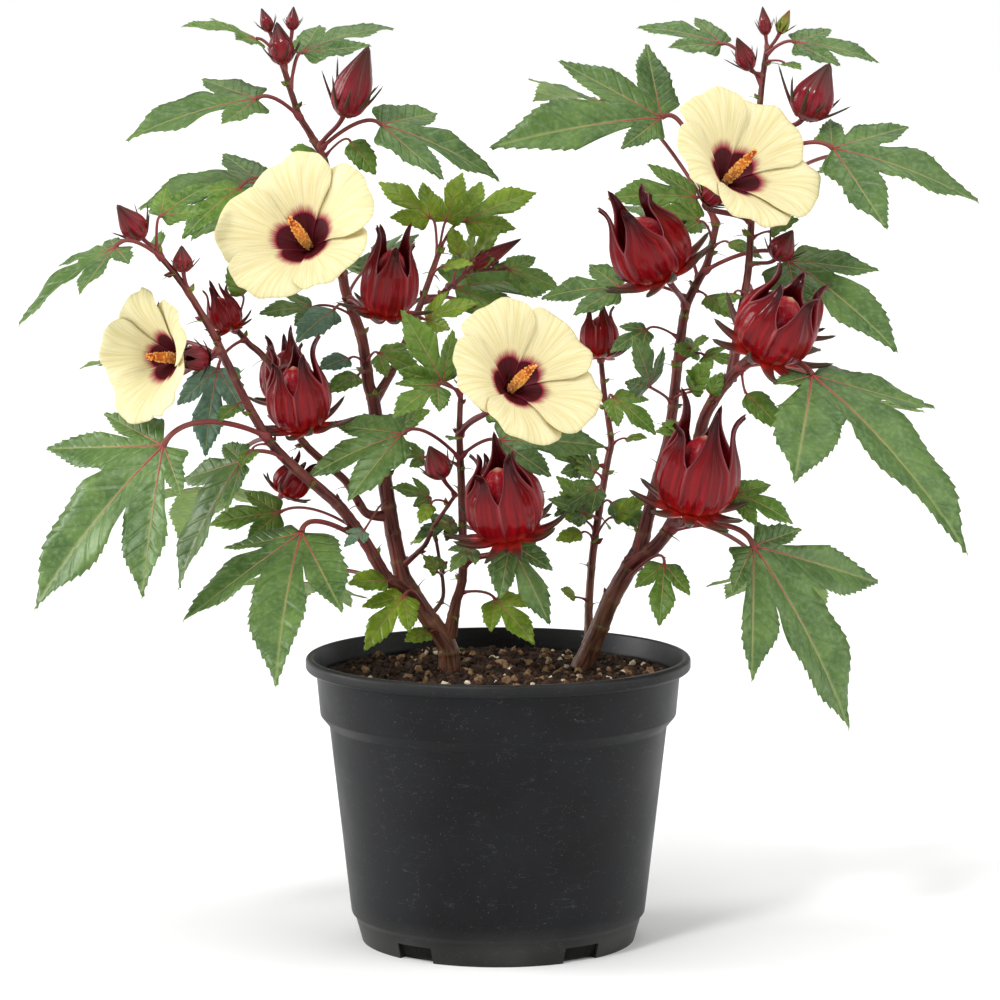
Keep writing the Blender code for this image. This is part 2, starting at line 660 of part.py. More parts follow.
def stalked_blade(name, path, radius, blade, lobes, facing=None):
    """A three-sided stalk along a path, and the blade that it opens into, as one closed shape."""
    radii = [radius * 1.25] + [radius] * (len(path) - 2) + [radius * 0.8]
    corners, rings = ring_corners(path, radii, 3, (facing, blade.ahead), blade.up)
    faces = [tuple(rings[0])]
    for low, high in zip(rings, rings[1:]):
        faces += band(low, high)
    more_corners, more_faces = blade_faces(blade, lobes, rings[-1])
    return closed_object(name, corners + more_corners, faces + more_faces)


def stalk_path(start, blade, count):
    """A stalk that leaves its stem upwards and comes to the blade's foot along the blade."""
    span = (blade.foot - start).length
    rise = Vector((0.0, 0.0, STALK_RISE * span))
    out = start + (blade.foot - start) * 0.3 + rise * 0.6
    into = blade.foot - blade.ahead * span * 0.22 + rise * 0.4
    return bezier(start, out, into, blade.foot, count)


def stalk_radius(length):
    return STALK_THIN + STALK_GROWTH * length


def leaf(name, row, stem, gap=FUSED):
    """A blade on its stalk, from a joint of a stem."""
    joint, foot, tip, lobes, faces = row
    blade = Blade(placed(*foot), placed(*tip), faces)
    place = stem.at_height(joint)
    start, facing = stem.point(place), None
    if gap:
        start, facing = skin_start(stem, place, blade.foot)
    path = stalk_path(start, blade, 2 if lobes == 1 else 3)
    thick = stalk_radius(blade.length)
    KEPT.add(path[1:], thick + 0.002, stem.name)
    for angle, reach in LOBES[lobes]:
        KEPT.add([blade.at(angle, reach * share) for share in (0.2, 0.5, 0.8)], 0.006, stem.name)
    return [stalked_blade(name, path, thick, blade, lobes, facing)]


def spike(name, start, ahead, length, radius):
    """A slim three-sided bract or sepal."""
    return tube(name, [start, start + ahead * length], [radius, 0], 3)


def pedicel(stem, joint, foot, ahead, radius, gap):
    """The path of a fruit's or flower's own stalk, its radii, and the way its first ring faces."""
    start, facing = stem.point(stem.at_height(joint)), None
    if gap:
        start, facing = skin_start(stem, stem.at_height(joint), foot)
    span = (foot - start).length
    out = start + (foot - start) * 0.3 + Vector((0.0, 0.0, span * 0.1))
    path = bezier(start, out, foot - ahead * span * 0.4, foot, 3)
    return path[:-1], [radius * 1.1] + [radius] * 2, facing


def ring_directions(ahead, count, start_turn):
    side, up = across(ahead)
    for n in range(count):
        turn = math.tau * n / count + start_turn
        yield side * math.cos(turn) + up * math.sin(turn)


def calyx(name, row, stem, gap=FUSED):
    """A ripe fleshy calyx: an urn that ends in five pointed sepals, and a ring of slim bracts."""
    joint, foot, tip, half_width = row
    foot, tip = placed(*foot), placed(*tip)
    wide = half_width * MM
    length = (tip - foot).length
    ahead = (tip - foot).normalized()
    points = [foot + ahead * length * share for share, _ in CALYX_SHAPE]
    corners, rings = ring_corners(points, [wide * share for _, share in CALYX_SHAPE], 2 * SEPALS)
    crown = []
    for n, out in enumerate(ring_directions(ahead, 2 * SEPALS, 0.0)):
        share, spread = SEPAL_NOTCH if n % 2 else SEPAL_TIP
        crown.append(len(corners))
        corners.append(foot + ahead * length * share + out * wide * spread)
    heart = len(corners)
    corners.append(foot + ahead * length * CALYX_HEART)
    faces = [tuple(rings[0])]
    for low, high in zip(rings + [crown], rings[1:] + [crown, [heart]]):
        faces += band(low, high)
    pieces = [closed_object(name, corners, faces)]
    radius = FRUIT_STALK + wide * STALK_SHARE
    path, radii, facing = pedicel(stem, joint, foot, ahead, radius, gap)
    path.append(foot + ahead * radius * 2)
    pieces.append(tube(name + "_stalk", path, radii + [radius], 4, (facing, None)))
    along, off, thick = CALYX_BRACT
    for n, out in enumerate(ring_directions(ahead, CALYX_BRACTS, 0.3)):
        start = foot + ahead * length * along + out * wide * off
        reach = (out + ahead * 0.3).normalized()
        pieces.append(spike(f"{name}_bract_{n}", start, reach, wide, wide * thick + BRACT_SKIN))
    KEPT.add([foot + ahead * length * share for share in (0.2, 0.5, 0.8)], wide * 1.1, stem.name)
    return pieces


def bud(name, row, stem):
    """A pointed flower bud on its stalk, with short slim bracts."""
    joint, foot, tip, half_width = row
    foot, tip = placed(*foot), placed(*tip)
    wide = half_width * MM
    length = (tip - foot).length
    ahead = (tip - foot).normalized()
    path, radii, _ = pedicel(stem, joint, foot, ahead, BUD_STALK + wide * STALK_SHARE, FUSED)
    points = [foot + ahead * length * share for share, _ in BUD_SHAPE]
    pieces = [tube(name, path + points, radii + [wide * share for _, share in BUD_SHAPE], 5)]
    along, off, thick = BUD_BRACT
    for n, out in enumerate(ring_directions(ahead, BUD_BRACTS, 0.5)):
        start = foot + ahead * length * along + out * wide * off
        reach = (out + ahead * 0.7).normalized()
        pieces.append(spike(f"{name}_bract_{n}", start, reach, wide * 1.1, wide * thick + BRACT_SKIN))
    KEPT.add(points, wide * 1.1, stem.name)
    return pieces


class Bowl:
    """The open bowl that a flower's petals lie on."""

    def __init__(self, foot, look, radius, depth):
        self.foot = foot
        self.radius = radius
        self.depth = depth * radius
        self.ahead = Vector(look).normalized()
        self.side, self.up = across(self.ahead)

    def at(self, reach, turn, lift=0.0):
        """The point at an angle round the flower: reach runs from 0 in the throat to 1 at the rim."""
        out = self.side * math.cos(turn) + self.up * math.sin(turn)
        ahead = self.depth * reach ** FUNNEL_CURVE + lift
        return self.foot + self.ahead * ahead + out * self.radius * reach


def corolla(name, bowl):
    """The five broad petals, joined at the throat and parted by a notch at the rim."""
    corners = [bowl.foot + bowl.ahead * PETAL_THICK, bowl.foot - bowl.ahead * PETAL_THICK]
    step = math.tau / PETALS
    notches = range(2, 2 + PETALS)
    for n in range(PETALS):
        corners.append(bowl.at(PETAL_SINUS, step * (n - 0.5)))
    faces = []
    for n in range(PETALS):
        start = len(corners)
        for reach, angle in PETAL_RIM:
            corners.append(bowl.at(reach, step * n + math.radians(angle)))
        for thick in (PETAL_THICK, -PETAL_THICK):
            corners.append(bowl.at(PETAL_MIDDLE, step * n, thick))
        for hub, middle in ((0, start + 3), (1, start + 4)):
            loop = [hub, notches[n], start, start + 1, start + 2, notches[(n + 1) % PETALS]]
            faces += [(middle, a, b) for a, b in zip(loop, loop[1:] + loop[:1])]
    return closed_object(name, corners, faces)


def flower(name, row, stem):
    """An open flower: a bowl of petals on a green cup, with the column standing out of the throat."""
    joint, foot, look, radius, depth = row
    foot = placed(*foot)
    bowl = Bowl(foot, look, radius * MM, depth)
    ahead = bowl.ahead
    cup = [foot - ahead * behind for behind in CUP_DEPTHS]
    path, radii, _ = pedicel(stem, joint, cup[0], ahead, FLOWER_STALK, FUSED)
    path += cup + [foot + ahead * bowl.radius * CUP_REACH]
    pieces = [tube(name, path, radii + list(CUP_RADII), 6), corolla(name + "_petals", bowl)]
    column = [foot + ahead * bowl.radius * share for share in COLUMN]
    pieces.append(tube(name + "_column", column, COLUMN_RADII, 4))
    for n, out in enumerate(ring_directions(ahead, SEPALS, 0.2)):
        start = foot - ahead * 0.007 + out * 0.005
        reach = (ahead + out * 0.8).normalized()
        pieces.append(spike(f"{name}_sepal_{n}", start, reach, SEPAL_LENGTH, SEPAL_RADIUS))
    for share in (0.3, 0.6, 0.95):
        KEPT.add([bowl.at(share, math.tau * n / 8) for n in range(8)], 0.008, stem.name)
    return pieces


def small_leaves(stem):
    """Small stalked leaves at the joints of a stem. One that would touch something is skipped."""
    draw = random.Random(SEED + sum(ord(letter) for letter in stem.name))
    pieces = []
    place = stem.bare + 0.35
    turn = draw.uniform(0, 360)
    while place < stem.last - 0.1:
        turn += JOINT_TURN + draw.uniform(-JOINT_SWAY, JOINT_SWAY)
        length = draw.uniform(*SMALL_LEAF)
        stalk = draw.uniform(*SMALL_STALK)
        rise = draw.uniform(*SMALL_RISE)
        sag = draw.uniform(*SMALL_SAG)
        out = Vector((math.sin(math.radians(turn)), -math.cos(math.radians(turn)), 0.0))
        start = stem.point(place)
        foot = start + (out + Vector((0.0, 0.0, rise))).normalized() * stalk
        tip = foot + (out + Vector((0.0, 0.0, sag))).normalized() * length
        span = (stem.point(min(place + 0.1, stem.last)) - start).length
        place += 0.1 * JOINT_STEP / span
        blade = Blade(foot, tip, (math.degrees(math.atan2(out.x, -out.y)) * 0.6, 40))
        body = [blade.at(0, share) for share in (0.2, 0.6, 1.0)]
        if not KEPT.free(body, 0.004, None) or not KEPT.free([foot], 0.001, stem.name):
            continue
        name = f"{stem.name}_small_{len(pieces)}"
        thick = stalk_radius(length)
        pieces.append(stalked_blade(name, [start, foot], thick, blade, 1))
        KEPT.add(body, 0.004, stem.name)
    return pieces


def finish(made, name, colour):
    """Names the object, and gives it a material of its own."""
    made.name = name
    made.data.name = name
    (red, green, blue), rough = COLOURS[colour]
    material = bpy.data.materials.new(name)
    material.use_nodes = True
    shader = material.node_tree.nodes["Principled BSDF"]
    shader.inputs["Base Color"].default_value = (red, green, blue, 1.0)
    shader.inputs["Roughness"].default_value = rough
    made.data.materials.clear()
    made.data.materials.append(material)
    return made


def islands(shape):
    """The separate closed surfaces in a mesh, as lists of faces."""
    waiting = set(shape.faces)
    found = []
    while waiting:
        reached = [waiting.pop()]
        for face in reached:
            for edge in face.edges:
                for other in edge.link_faces:
                    if other in waiting:
                        waiting.remove(other)
                        reached.append(other)
        found.append(reached)
    return found


def keep_one_body(mesh):
    """Fills any hollow that the union sealed and drops any scrap that it left loose."""
    shape = bmesh.new()
    shape.from_mesh(mesh)
    found = sorted(islands(shape), key=len)
    for extra in found[:-1]:
        bmesh.ops.delete(shape, geom=extra, context="FACES")
    bmesh.ops.triangulate(shape, faces=shape.faces)
    shape.to_mesh(mesh)
    shape.free()


def fused(pieces, name, colour):
    """All the pieces joined by one union into one solid."""
    body, others = pieces[0], pieces[1:]
    group = bpy.data.collections.new(name)
    bpy.context.scene.collection.children.link(group)
    for piece in others:
        group.objects.link(piece)
        bpy.context.scene.collection.objects.unlink(piece)
    union = body.modifiers.new("union", "BOOLEAN")
    union.operation = "UNION"
    union.operand_type = "COLLECTION"
    union.collection = group
    union.solver = "EXACT"
    graph = bpy.context.evaluated_depsgraph_get()
    mesh = bpy.data.meshes.new_from_object(body.evaluated_get(graph))
    body.modifiers.clear()
    body.data = mesh
    keep_one_body(mesh)
    for piece in others:
        bpy.data.objects.remove(piece)
    bpy.data.collections.remove(group)
    return finish(body, name, colour)


def turned(name, profile, sides):
    """A closed solid turned about the upright axis. A profile in millimetres that starts and ends on it."""
    corners = [Vector((0.0, 0.0, profile[0][1] * MM))]
    rings = []
    for radius, height in profile:
        ring = []
        for s in range(sides):
            turn = math.tau * (s + 0.5) / sides
            ring.append(len(corners))
            corners.append(Vector((math.sin(turn) * radius, -math.cos(turn) * radius, height)) * MM)
        rings.append(ring)
    corners.append(Vector((0.0, 0.0, profile[-1][1] * MM)))
    faces = []
    for s in range(sides):
        e = (s + 1) % sides
        faces.append((0, rings[0][s], rings[0][e]))
        faces.append((len(corners) - 1, rings[-1][s], rings[-1][e]))
        for low, high in zip(rings, rings[1:]):
            faces.append((low[s], low[e], high[e], high[s]))
    return closed_object(name, corners, faces)


def box(name, low, high):
    corners = [Vector(corner) * MM for corner in itertools.product(*zip(low, high))]
    faces = [(0, 1, 3, 2), (4, 6, 7, 5), (0, 4, 5, 1), (2, 3, 7, 6), (0, 2, 6, 4), (1, 5, 7, 3)]
    return closed_object(name, corners, faces)


def make_pot():
    """A thin-walled tapering pot with a rolled lip and a collar, and drainage notches round its foot."""
    pot = turned("pot", POT_OUTSIDE + POT_INSIDE, POT_SIDES)
    for n, turn in enumerate(NOTCH_TURNS):
        cutter = box(f"notch_{n}", (-NOTCH_WIDE / 2, *NOTCH_LOW), (NOTCH_WIDE / 2, *NOTCH_HIGH))
        cutter.matrix_world = Matrix.Rotation(math.radians(turn), 4, "Z")
        cutter.hide_render = True
        cutter.display_type = "WIRE"
        cut = pot.modifiers.new(f"notch_{n}", "BOOLEAN")
        cut.operation = "DIFFERENCE"
        cut.object = cutter
        cut.solver = "EXACT"
    finish(pot, "pot", "pot")


def make_limbs():
    """The trunks, and the bare stretch of each stem up to where its foliage starts."""
    for name, stem in STEM_OF.items():
        points, radii = stem_rings(stem, 0, stem.last, 0.25)
        KEPT.add(points, stem.radii[0] + 0.002, name)
        if stem.carrier is None:
            finish(trunk(name, stem), name, "wood")
        elif stem.bare:
            finish(limb("bough_" + name, stem, 0, stem.bare, BOUGH_SIDES), "bough_" + name, "wood")


def side_branch(stem):
    """A branch that is fused to the stem of its own mass."""
    points, radii = stem_rings(stem, 0, stem.last)
    points[0] = stem.carrier.point(stem.carrier.at_height(STEMS[stem.name][4][0][2]))
    return tube(stem.name, points, radii, TWIG_SIDES)


def dressed(stem):
    """The leaves, flowers, calyces and buds of one stem, as loose pieces."""
    pieces = []
    for n, row in enumerate(LEAVES.get(stem.name, ())):
        pieces += leaf(f"{stem.name}_leaf_{n}", row, stem)
    for n, row in enumerate(CALYCES.get(stem.name, ())):
        pieces += calyx(f"{stem.name}_calyx_{n}", row, stem)
    for n, row in enumerate(BUDS.get(stem.name, ())):
        pieces += bud(f"{stem.name}_bud_{n}", row, stem)
    for n, row in enumerate(FLOWERS.get(stem.name, ())):
        pieces += flower(f"{stem.name}_flower_{n}", row, stem)
    return pieces


def make_masses():
    """Each stem above its bare stretch, fused with all that it carries."""
    masses = {}
    for name, stem in STEM_OF.items():
        if stem.carrier is None or name == "bright_side":
            continue
        masses[name] = [limb(name, stem, stem.bare, stem.last, TWIG_SIDES)] + dressed(stem)
    masses["bright"] += [side_branch(STEM_OF["bright_side"])] + dressed(STEM_OF["bright_side"])
    low = {}
    for name, (carrier, row) in LOW_LEAVES.items():
        low[name] = leaf(name, row, STEM_OF[carrier], CLEAR)
    low["calyx_low_right"] = calyx("calyx_low_right", LOW_CALYX[1], STEM_OF[LOW_CALYX[0]], CLEAR)
    for name in masses:
        masses[name] += small_leaves(STEM_OF[name])
    for name, pieces in masses.items():
        fused(pieces, "foliage_" + name, "leaf")
    for name, pieces in low.items():
        fused(pieces, name, "calyx" if name.startswith("calyx") else "leaf")


make_pot()
finish(turned("potting_mix", SOIL_PROFILE, POT_SIDES), "potting_mix", "soil")
make_limbs()
make_masses()
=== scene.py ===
"""A roselle shrub in flower and fruit, in its black nursery pot.

Metres, +Z up, front towards -Y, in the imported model's own frame: the origin is the centre of the
pot's flat underside. The sections follow the plant from the ground up.
"""

import itertools
import json
import math
import random

import bmesh
import bpy
from mathutils import Matrix, Vector, geometry, noise

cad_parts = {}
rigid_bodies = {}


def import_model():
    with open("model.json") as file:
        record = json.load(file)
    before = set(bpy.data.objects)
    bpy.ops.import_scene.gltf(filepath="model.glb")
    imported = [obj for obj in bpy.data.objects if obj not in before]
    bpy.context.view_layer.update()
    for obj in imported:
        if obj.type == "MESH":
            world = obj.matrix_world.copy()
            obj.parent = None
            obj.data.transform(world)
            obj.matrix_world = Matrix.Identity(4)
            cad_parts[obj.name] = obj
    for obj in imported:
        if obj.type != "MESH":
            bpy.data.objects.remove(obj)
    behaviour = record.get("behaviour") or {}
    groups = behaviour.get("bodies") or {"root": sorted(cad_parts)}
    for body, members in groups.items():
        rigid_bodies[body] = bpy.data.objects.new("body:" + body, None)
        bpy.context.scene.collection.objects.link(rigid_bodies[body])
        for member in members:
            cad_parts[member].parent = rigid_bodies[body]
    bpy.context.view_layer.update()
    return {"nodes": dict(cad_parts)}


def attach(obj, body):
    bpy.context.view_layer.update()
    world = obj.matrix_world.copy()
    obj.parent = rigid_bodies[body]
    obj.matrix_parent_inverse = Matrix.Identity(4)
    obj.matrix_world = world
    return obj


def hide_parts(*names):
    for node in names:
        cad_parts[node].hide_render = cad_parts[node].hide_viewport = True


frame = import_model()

# The nursery pot. A 5 litre grower's pot, moulded in one piece from recycled black polypropylene: a
# tapering wall, a step out to a collar with a rolled lip, and a foot ring with six drainage notches.
# It stands loose on the ground on that ring.

MM = 0.001
POT_SIDES = 144
SHARP_FROM = 38
POT_OUTSIDE = [(82, 0), (85.8, 14), (88.2, 17), (101, 130), (106.4, 136.5), (108.8, 163.4),
               (113.4, 163.2), (115, 164.6), (115, 169.6), (113.6, 171.2)]
POT_INSIDE = [(111.0, 171.2), (107.3, 160), (104.9, 137.2), (99.5, 130.4), (86.8, 17.4), (84.3, 14),
              (80.6, 2)]
CORNER_REACH = 0.9
CORNER_STEPS = 4
NOTCH_TURNS = (36, 90, 144, 216, 270, 324)
NOTCH_WIDE = 24
NOTCH_LOW = (-92, -4)
NOTCH_HIGH = (-76, 9.5)


def linear(hex_value):
    """An sRGB hex value as linear red, green, blue and alpha."""
    shares = [int(hex_value[n:n + 2], 16) / 255 for n in (1, 3, 5)]
    return tuple(s / 12.92 if s <= 0.04045 else ((s + 0.055) / 1.055) ** 2.4 for s in shares) + (1.0,)


def put(tree, kind, sockets=None, **settings):
    """Adds a node with its settings. A socket takes a plain value, or the output or node that feeds it."""
    made = tree.nodes.new(kind)
    for name, value in settings.items():
        setattr(made, name, value)
    for key, value in (sockets or {}).items():
        if isinstance(value, bpy.types.Node):
            value = value.outputs[0]
        if isinstance(value, bpy.types.NodeSocket):
            tree.links.new(value, made.inputs[key])
        else:
            made.inputs[key].default_value = value
    return made


def new_finish(name, values):
    """A material with its shader's own values set, its node tree, and the shader."""
    made = bpy.data.materials.new(name)
    made.use_nodes = True
    shader = made.node_tree.nodes["Principled BSDF"]
    for socket, value in values.items():
        shader.inputs[socket].default_value = value
    return made, made.node_tree, shader


def tinted(tree, pattern, start, end, under, over, most=1.0):
    """A colour that gives way to another, at most so far, as a pattern's value goes from start to end."""
    share = put(tree, "ShaderNodeMapRange", {0: pattern, 1: start, 2: end, 4: most})
    under, over = (linear(colour) if isinstance(colour, str) else colour for colour in (under, over))
    return put(tree, "ShaderNodeMix", {0: share, 6: under, 7: over}, data_type="RGBA").outputs[2]


def add_object(name, mesh):
    made = bpy.data.objects.new(name, mesh)
    bpy.context.scene.collection.objects.link(made)
    return made


def add_mesh(name, corners, faces, edges=()):
    mesh = bpy.data.meshes.new(name)
    mesh.from_pydata([tuple(corner) for corner in corners], edges, faces)
    return add_object(name, mesh)


def plain_mesh(name, made):
    """The object as its modifiers leave it, as a plain mesh object."""
    graph = bpy.context.evaluated_depsgraph_get()
    mesh = bpy.data.meshes.new_from_object(made.evaluated_get(graph))
    bpy.data.objects.remove(made)
    mesh.name = name
    return add_object(name, mesh)


def outwards(made, weld=None):
    """Closes the seams of a mesh and turns its faces outwards."""
    shape = bmesh.new()
    shape.from_mesh(made.data)
    if weld:
        bmesh.ops.remove_doubles(shape, verts=shape.verts, dist=weld)
    bmesh.ops.recalc_face_normals(shape, faces=shape.faces)
    shape.to_mesh(made.data)
    shape.free()
    return made


def hand_over(piece, slot, *nodes):
    """The piece moves with the plant and stands for these solids. The slot is not used."""
    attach(piece, "root")
    if nodes:
        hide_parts(*nodes)


def eased(profile, reach, steps):
    """A profile with each of its corners, but not its ends, rounded over a short reach."""
    made = [Vector(profile[0])]
    for a, b, c in zip(profile, profile[1:], profile[2:]):
        a, b, c = Vector(a), Vector(b), Vector(c)
        before = b + (a - b) * min(0.45, reach / (a - b).length)
        after = b + (c - b) * min(0.45, reach / (c - b).length)
        for n in range(steps + 1):
            t = n / steps
            made.append(before * (1 - t) ** 2 + b * (2 * t * (1 - t)) + after * t * t)
    return made + [Vector(profile[-1])]


def ring_faces(rings, sides, closed):
    """Faces that join rings of corners round a first corner, and close at a last one."""
    last = 1 + rings * sides
    faces = []
    for s in range(sides):
        e = (s + 1) % sides
        faces.append((0, 1 + s, 1 + e))
        if closed:
            faces.append((last, last - sides + e, last - sides + s))
        for ring in range(rings - 1):
            low, high = 1 + ring * sides, 1 + (ring + 1) * sides
            faces.append((low + s, high + s, high + e, low + e))
    return faces


def turned(name, profile, sides):
    """A closed shape turned about the upright axis from a profile in millimetres."""
    corners = [Vector((0.0, 0.0, profile[0][1] * MM))]
    for radius, height in profile:
        for s in range(sides):
            turn = math.tau * (s + 0.5) / sides
            corners.append(Vector((math.sin(turn) * radius, -math.cos(turn) * radius, height)) * MM)
    corners.append(Vector((0.0, 0.0, profile[-1][1] * MM)))
    return outwards(add_mesh(name, corners, ring_faces(len(profile), sides, True)))


pot = turned("pot_blank", eased(POT_OUTSIDE + POT_INSIDE, CORNER_REACH, CORNER_STEPS), POT_SIDES)
cutters = []
for turn in NOTCH_TURNS:
    low = (-NOTCH_WIDE / 2, *NOTCH_LOW)
    high = (NOTCH_WIDE / 2, *NOTCH_HIGH)
    corners = [Vector(corner) * MM for corner in itertools.product(*zip(low, high))]
    sides = [(0, 1, 3, 2), (4, 6, 7, 5), (0, 4, 5, 1), (2, 3, 7, 6), (0, 2, 6, 4), (1, 5, 7, 3)]
    cutter = outwards(add_mesh("notch_cutter", corners, sides))
    cutter.matrix_world = Matrix.Rotation(math.radians(turn), 4, "Z")
    cutters.append(cutter)
    cut = pot.modifiers.new("notch", "BOOLEAN")
    cut.object = cutter
    cut.solver = "EXACT"
pot = plain_mesh("nursery_pot", pot)
for cutter in cutters:
    bpy.data.objects.remove(cutter)
pot.data.shade_smooth()
pot.data.set_sharp_from_angle(angle=math.radians(SHARP_FROM))

# Black polypropylene, moulded: a soft satin skin that scratches grey, with dust in its corners.
polypropylene, nodes, shader = new_finish("black_moulded_polypropylene", {"Specular IOR Level": 0.18})
here = put(nodes, "ShaderNodeTexCoord").outputs["Object"]
height = put(nodes, "ShaderNodeSeparateXYZ", {0: here}).outputs["Z"]
clouds = put(nodes, "ShaderNodeTexNoise", {"Vector": here, "Scale": 1 / 0.045, "Detail": 5})
skin = tinted(nodes, clouds, 0.38, 0.66, "#0b0b0e", "#141518")
stretch = put(nodes, "ShaderNodeMapping", {0: here, "Scale": (1.0, 1.0, 4.5), "Rotation": (0.25, 0.4, 0.0)})
lines = put(nodes, "ShaderNodeTexNoise", {"Vector": stretch, "Scale": 1 / 0.022, "Detail": 3})
from_line = put(nodes, "ShaderNodeMath", {0: lines, 1: 0.5, 2: 0.006}, operation="COMPARE")
patch = put(nodes, "ShaderNodeTexNoise", {"Vector": here, "Scale": 1 / 0.012, "Detail": 2})
here_and_there = put(nodes, "ShaderNodeMapRange", {0: patch, 1: 0.50, 2: 0.62, 4: 0.45})
scratch = put(nodes, "ShaderNodeMath", {0: from_line, 1: here_and_there}, operation="MULTIPLY")
scratched = put(nodes, "ShaderNodeMix", {0: scratch, 6: skin, 7: linear("#3f4043")},
                data_type="RGBA")
grains = put(nodes, "ShaderNodeTexNoise", {"Vector": here, "Scale": 1 / 0.0013, "Detail": 1})
specks = put(nodes, "ShaderNodeMapRange", {0: grains, 1: 0.70, 2: 0.78, 4: 0.35})
near_foot = put(nodes, "ShaderNodeMapRange", {0: height, 1: 0.024, 2: 0.010, 3: 0.0, 4: 0.30})
near_lip = put(nodes, "ShaderNodeMapRange", {0: height, 1: 0.164, 2: 0.170, 3: 0.0, 4: 0.16})
edges = put(nodes, "ShaderNodeMath", {0: near_foot, 1: near_lip}, operation="MAXIMUM")
settled = put(nodes, "ShaderNodeMath", {0: edges, 1: clouds}, operation="MULTIPLY")
dusty = put(nodes, "ShaderNodeMath", {0: specks, 1: settled}, operation="MAXIMUM")
dusted = put(nodes, "ShaderNodeMix", {0: dusty, 6: scratched.outputs[2], 7: linear("#66645f")},
             data_type="RGBA")
nodes.links.new(dusted.outputs[2], shader.inputs["Base Color"])
gloss = put(nodes, "ShaderNodeMapRange", {0: clouds, 1: 0.3, 2: 0.7, 3: 0.34, 4: 0.50}).outputs[0]
nodes.links.new(gloss, shader.inputs["Roughness"])
grain = put(nodes, "ShaderNodeTexNoise", {"Vector": here, "Scale": 1 / 0.0006, "Detail": 2})
bump = put(nodes, "ShaderNodeBump", {"Height": grain, "Strength": 0.35, "Distance": 0.0001}).outputs[0]
nodes.links.new(bump, shader.inputs["Normal"])
pot.data.materials.clear()
pot.data.materials.append(polypropylene)
hand_over(pot, "pot_plastic", "pot")

# The potting mix. Moist dark peat fills the pot to a finger's width under its rim, uneven where it
# was watered, and is strewn with crumbs of peat, chips of bark and pale bits of perlite.

SOIL_TOP = 159
SOIL_SIDE = [(80.1, 2.4), (83.9, 14.1), (86.4, 17.5), (99.1, 130.5), (104.4, 137.3), (106.6, 158)]
SOIL_RINGS = 44
HUMP = 2.4
CRUMB_SHAPES = 6
STREWN_OUT_TO = 101


def soil_height(x, y):
    """The height of the soil's surface, in millimetres."""
    broad = noise.fractal(Vector((x, y, 0.0)) / 26, 1.0, 2.0, 3)
    fine = noise.fractal(Vector((x, y, 40.0)) / 5, 1.0, 2.0, 3)
    return SOIL_TOP + HUMP * broad + 0.9 * fine


def soil_surface(name, reach):
    """The top of the soil out to a radius in millimetres."""
    corners = [Vector((0.0, 0.0, soil_height(0, 0))) * MM]
    for ring in range(1, SOIL_RINGS + 1):
        radius = reach * ring / SOIL_RINGS
        for s in range(POT_SIDES):
            turn = math.tau * (s + 0.5) / POT_SIDES
            x, y = math.sin(turn) * radius, -math.cos(turn) * radius
            corners.append(Vector((x, y, soil_height(x, y))) * MM)
    return add_mesh(name, corners, ring_faces(SOIL_RINGS, POT_SIDES, False))


def strewing_tree():
    """Geometry Nodes that strew copies of a few shapes over a surface, at a named density and size."""
    tree = bpy.data.node_groups.new("strewn_over_a_surface", "GeometryNodeTree")
    for name, kind in (("Surface", "Geometry"), ("Shapes", "Collection"), ("Density", "Float"),
                       ("Smallest", "Float"), ("Largest", "Float"), ("Seed", "Int"), ("Finish", "Material")):
        tree.interface.new_socket(name, in_out="INPUT", socket_type="NodeSocket" + kind)
    tree.interface.new_socket("Strewn", in_out="OUTPUT", socket_type="NodeSocketGeometry")
    given = put(tree, "NodeGroupInput").outputs
    spots = put(tree, "GeometryNodeDistributePointsOnFaces",
                {"Mesh": given["Surface"], "Density": given["Density"], "Seed": given["Seed"]})
    shapes = put(tree, "GeometryNodeCollectionInfo",
                 {0: given["Shapes"], "Separate Children": True, "Reset Children": True})
    sizes = put(tree, "FunctionNodeRandomValue",
                {2: given["Smallest"], 3: given["Largest"], "Seed": given["Seed"]}, data_type="FLOAT")
    turns = put(tree, "FunctionNodeRandomValue",
                {0: (0.0, 0.0, 0.0), 1: (math.tau, math.tau, math.tau)}, data_type="FLOAT_VECTOR")
    copies = put(tree, "GeometryNodeInstanceOnPoints",
                 {"Points": spots, "Instance": shapes, "Pick Instance": True,
                  "Rotation": turns, "Scale": sizes.outputs[1]})
    solid = put(tree, "GeometryNodeRealizeInstances", {0: copies})
    painted = put(tree, "GeometryNodeSetMaterial", {0: solid, "Material": given["Finish"]})
    put(tree, "NodeGroupOutput", {0: painted})
    return tree


def run_tree(name, made, tree, **inputs):
    """The plain mesh that a node tree makes of an object, with the tree's inputs set by their names."""
    rule = made.modifiers.new("rule", "NODES")
    rule.node_group = tree
    for item in tree.interface.items_tree:
        if item.in_out == "INPUT" and item.name in inputs:
            rule[item.identifier] = inputs[item.name]
    return plain_mesh(name, made)


def rough_lumps(name, count, stretch, seed, unevenness=0.36):
    """A collection of small uneven lumps, 1 across, that a tree strews copies of."""
    draw = random.Random(seed)
    group = bpy.data.collections.new(name)
    for n in range(count):
        shape = bmesh.new()
        bmesh.ops.create_icosphere(shape, subdivisions=1, radius=0.5)
        for corner in shape.verts:
            corner.co *= 1 + draw.uniform(-unevenness, unevenness)
            corner.co = Vector(a * b for a, b in zip(corner.co, stretch))
        mesh = bpy.data.meshes.new(f"{name}_{n}")
        shape.to_mesh(mesh)
        shape.free()
        group.objects.link(bpy.data.objects.new(mesh.name, mesh))
    return group


def drop_group(group):
    for made in list(group.objects):
        bpy.data.objects.remove(made)
    bpy.data.collections.remove(group)
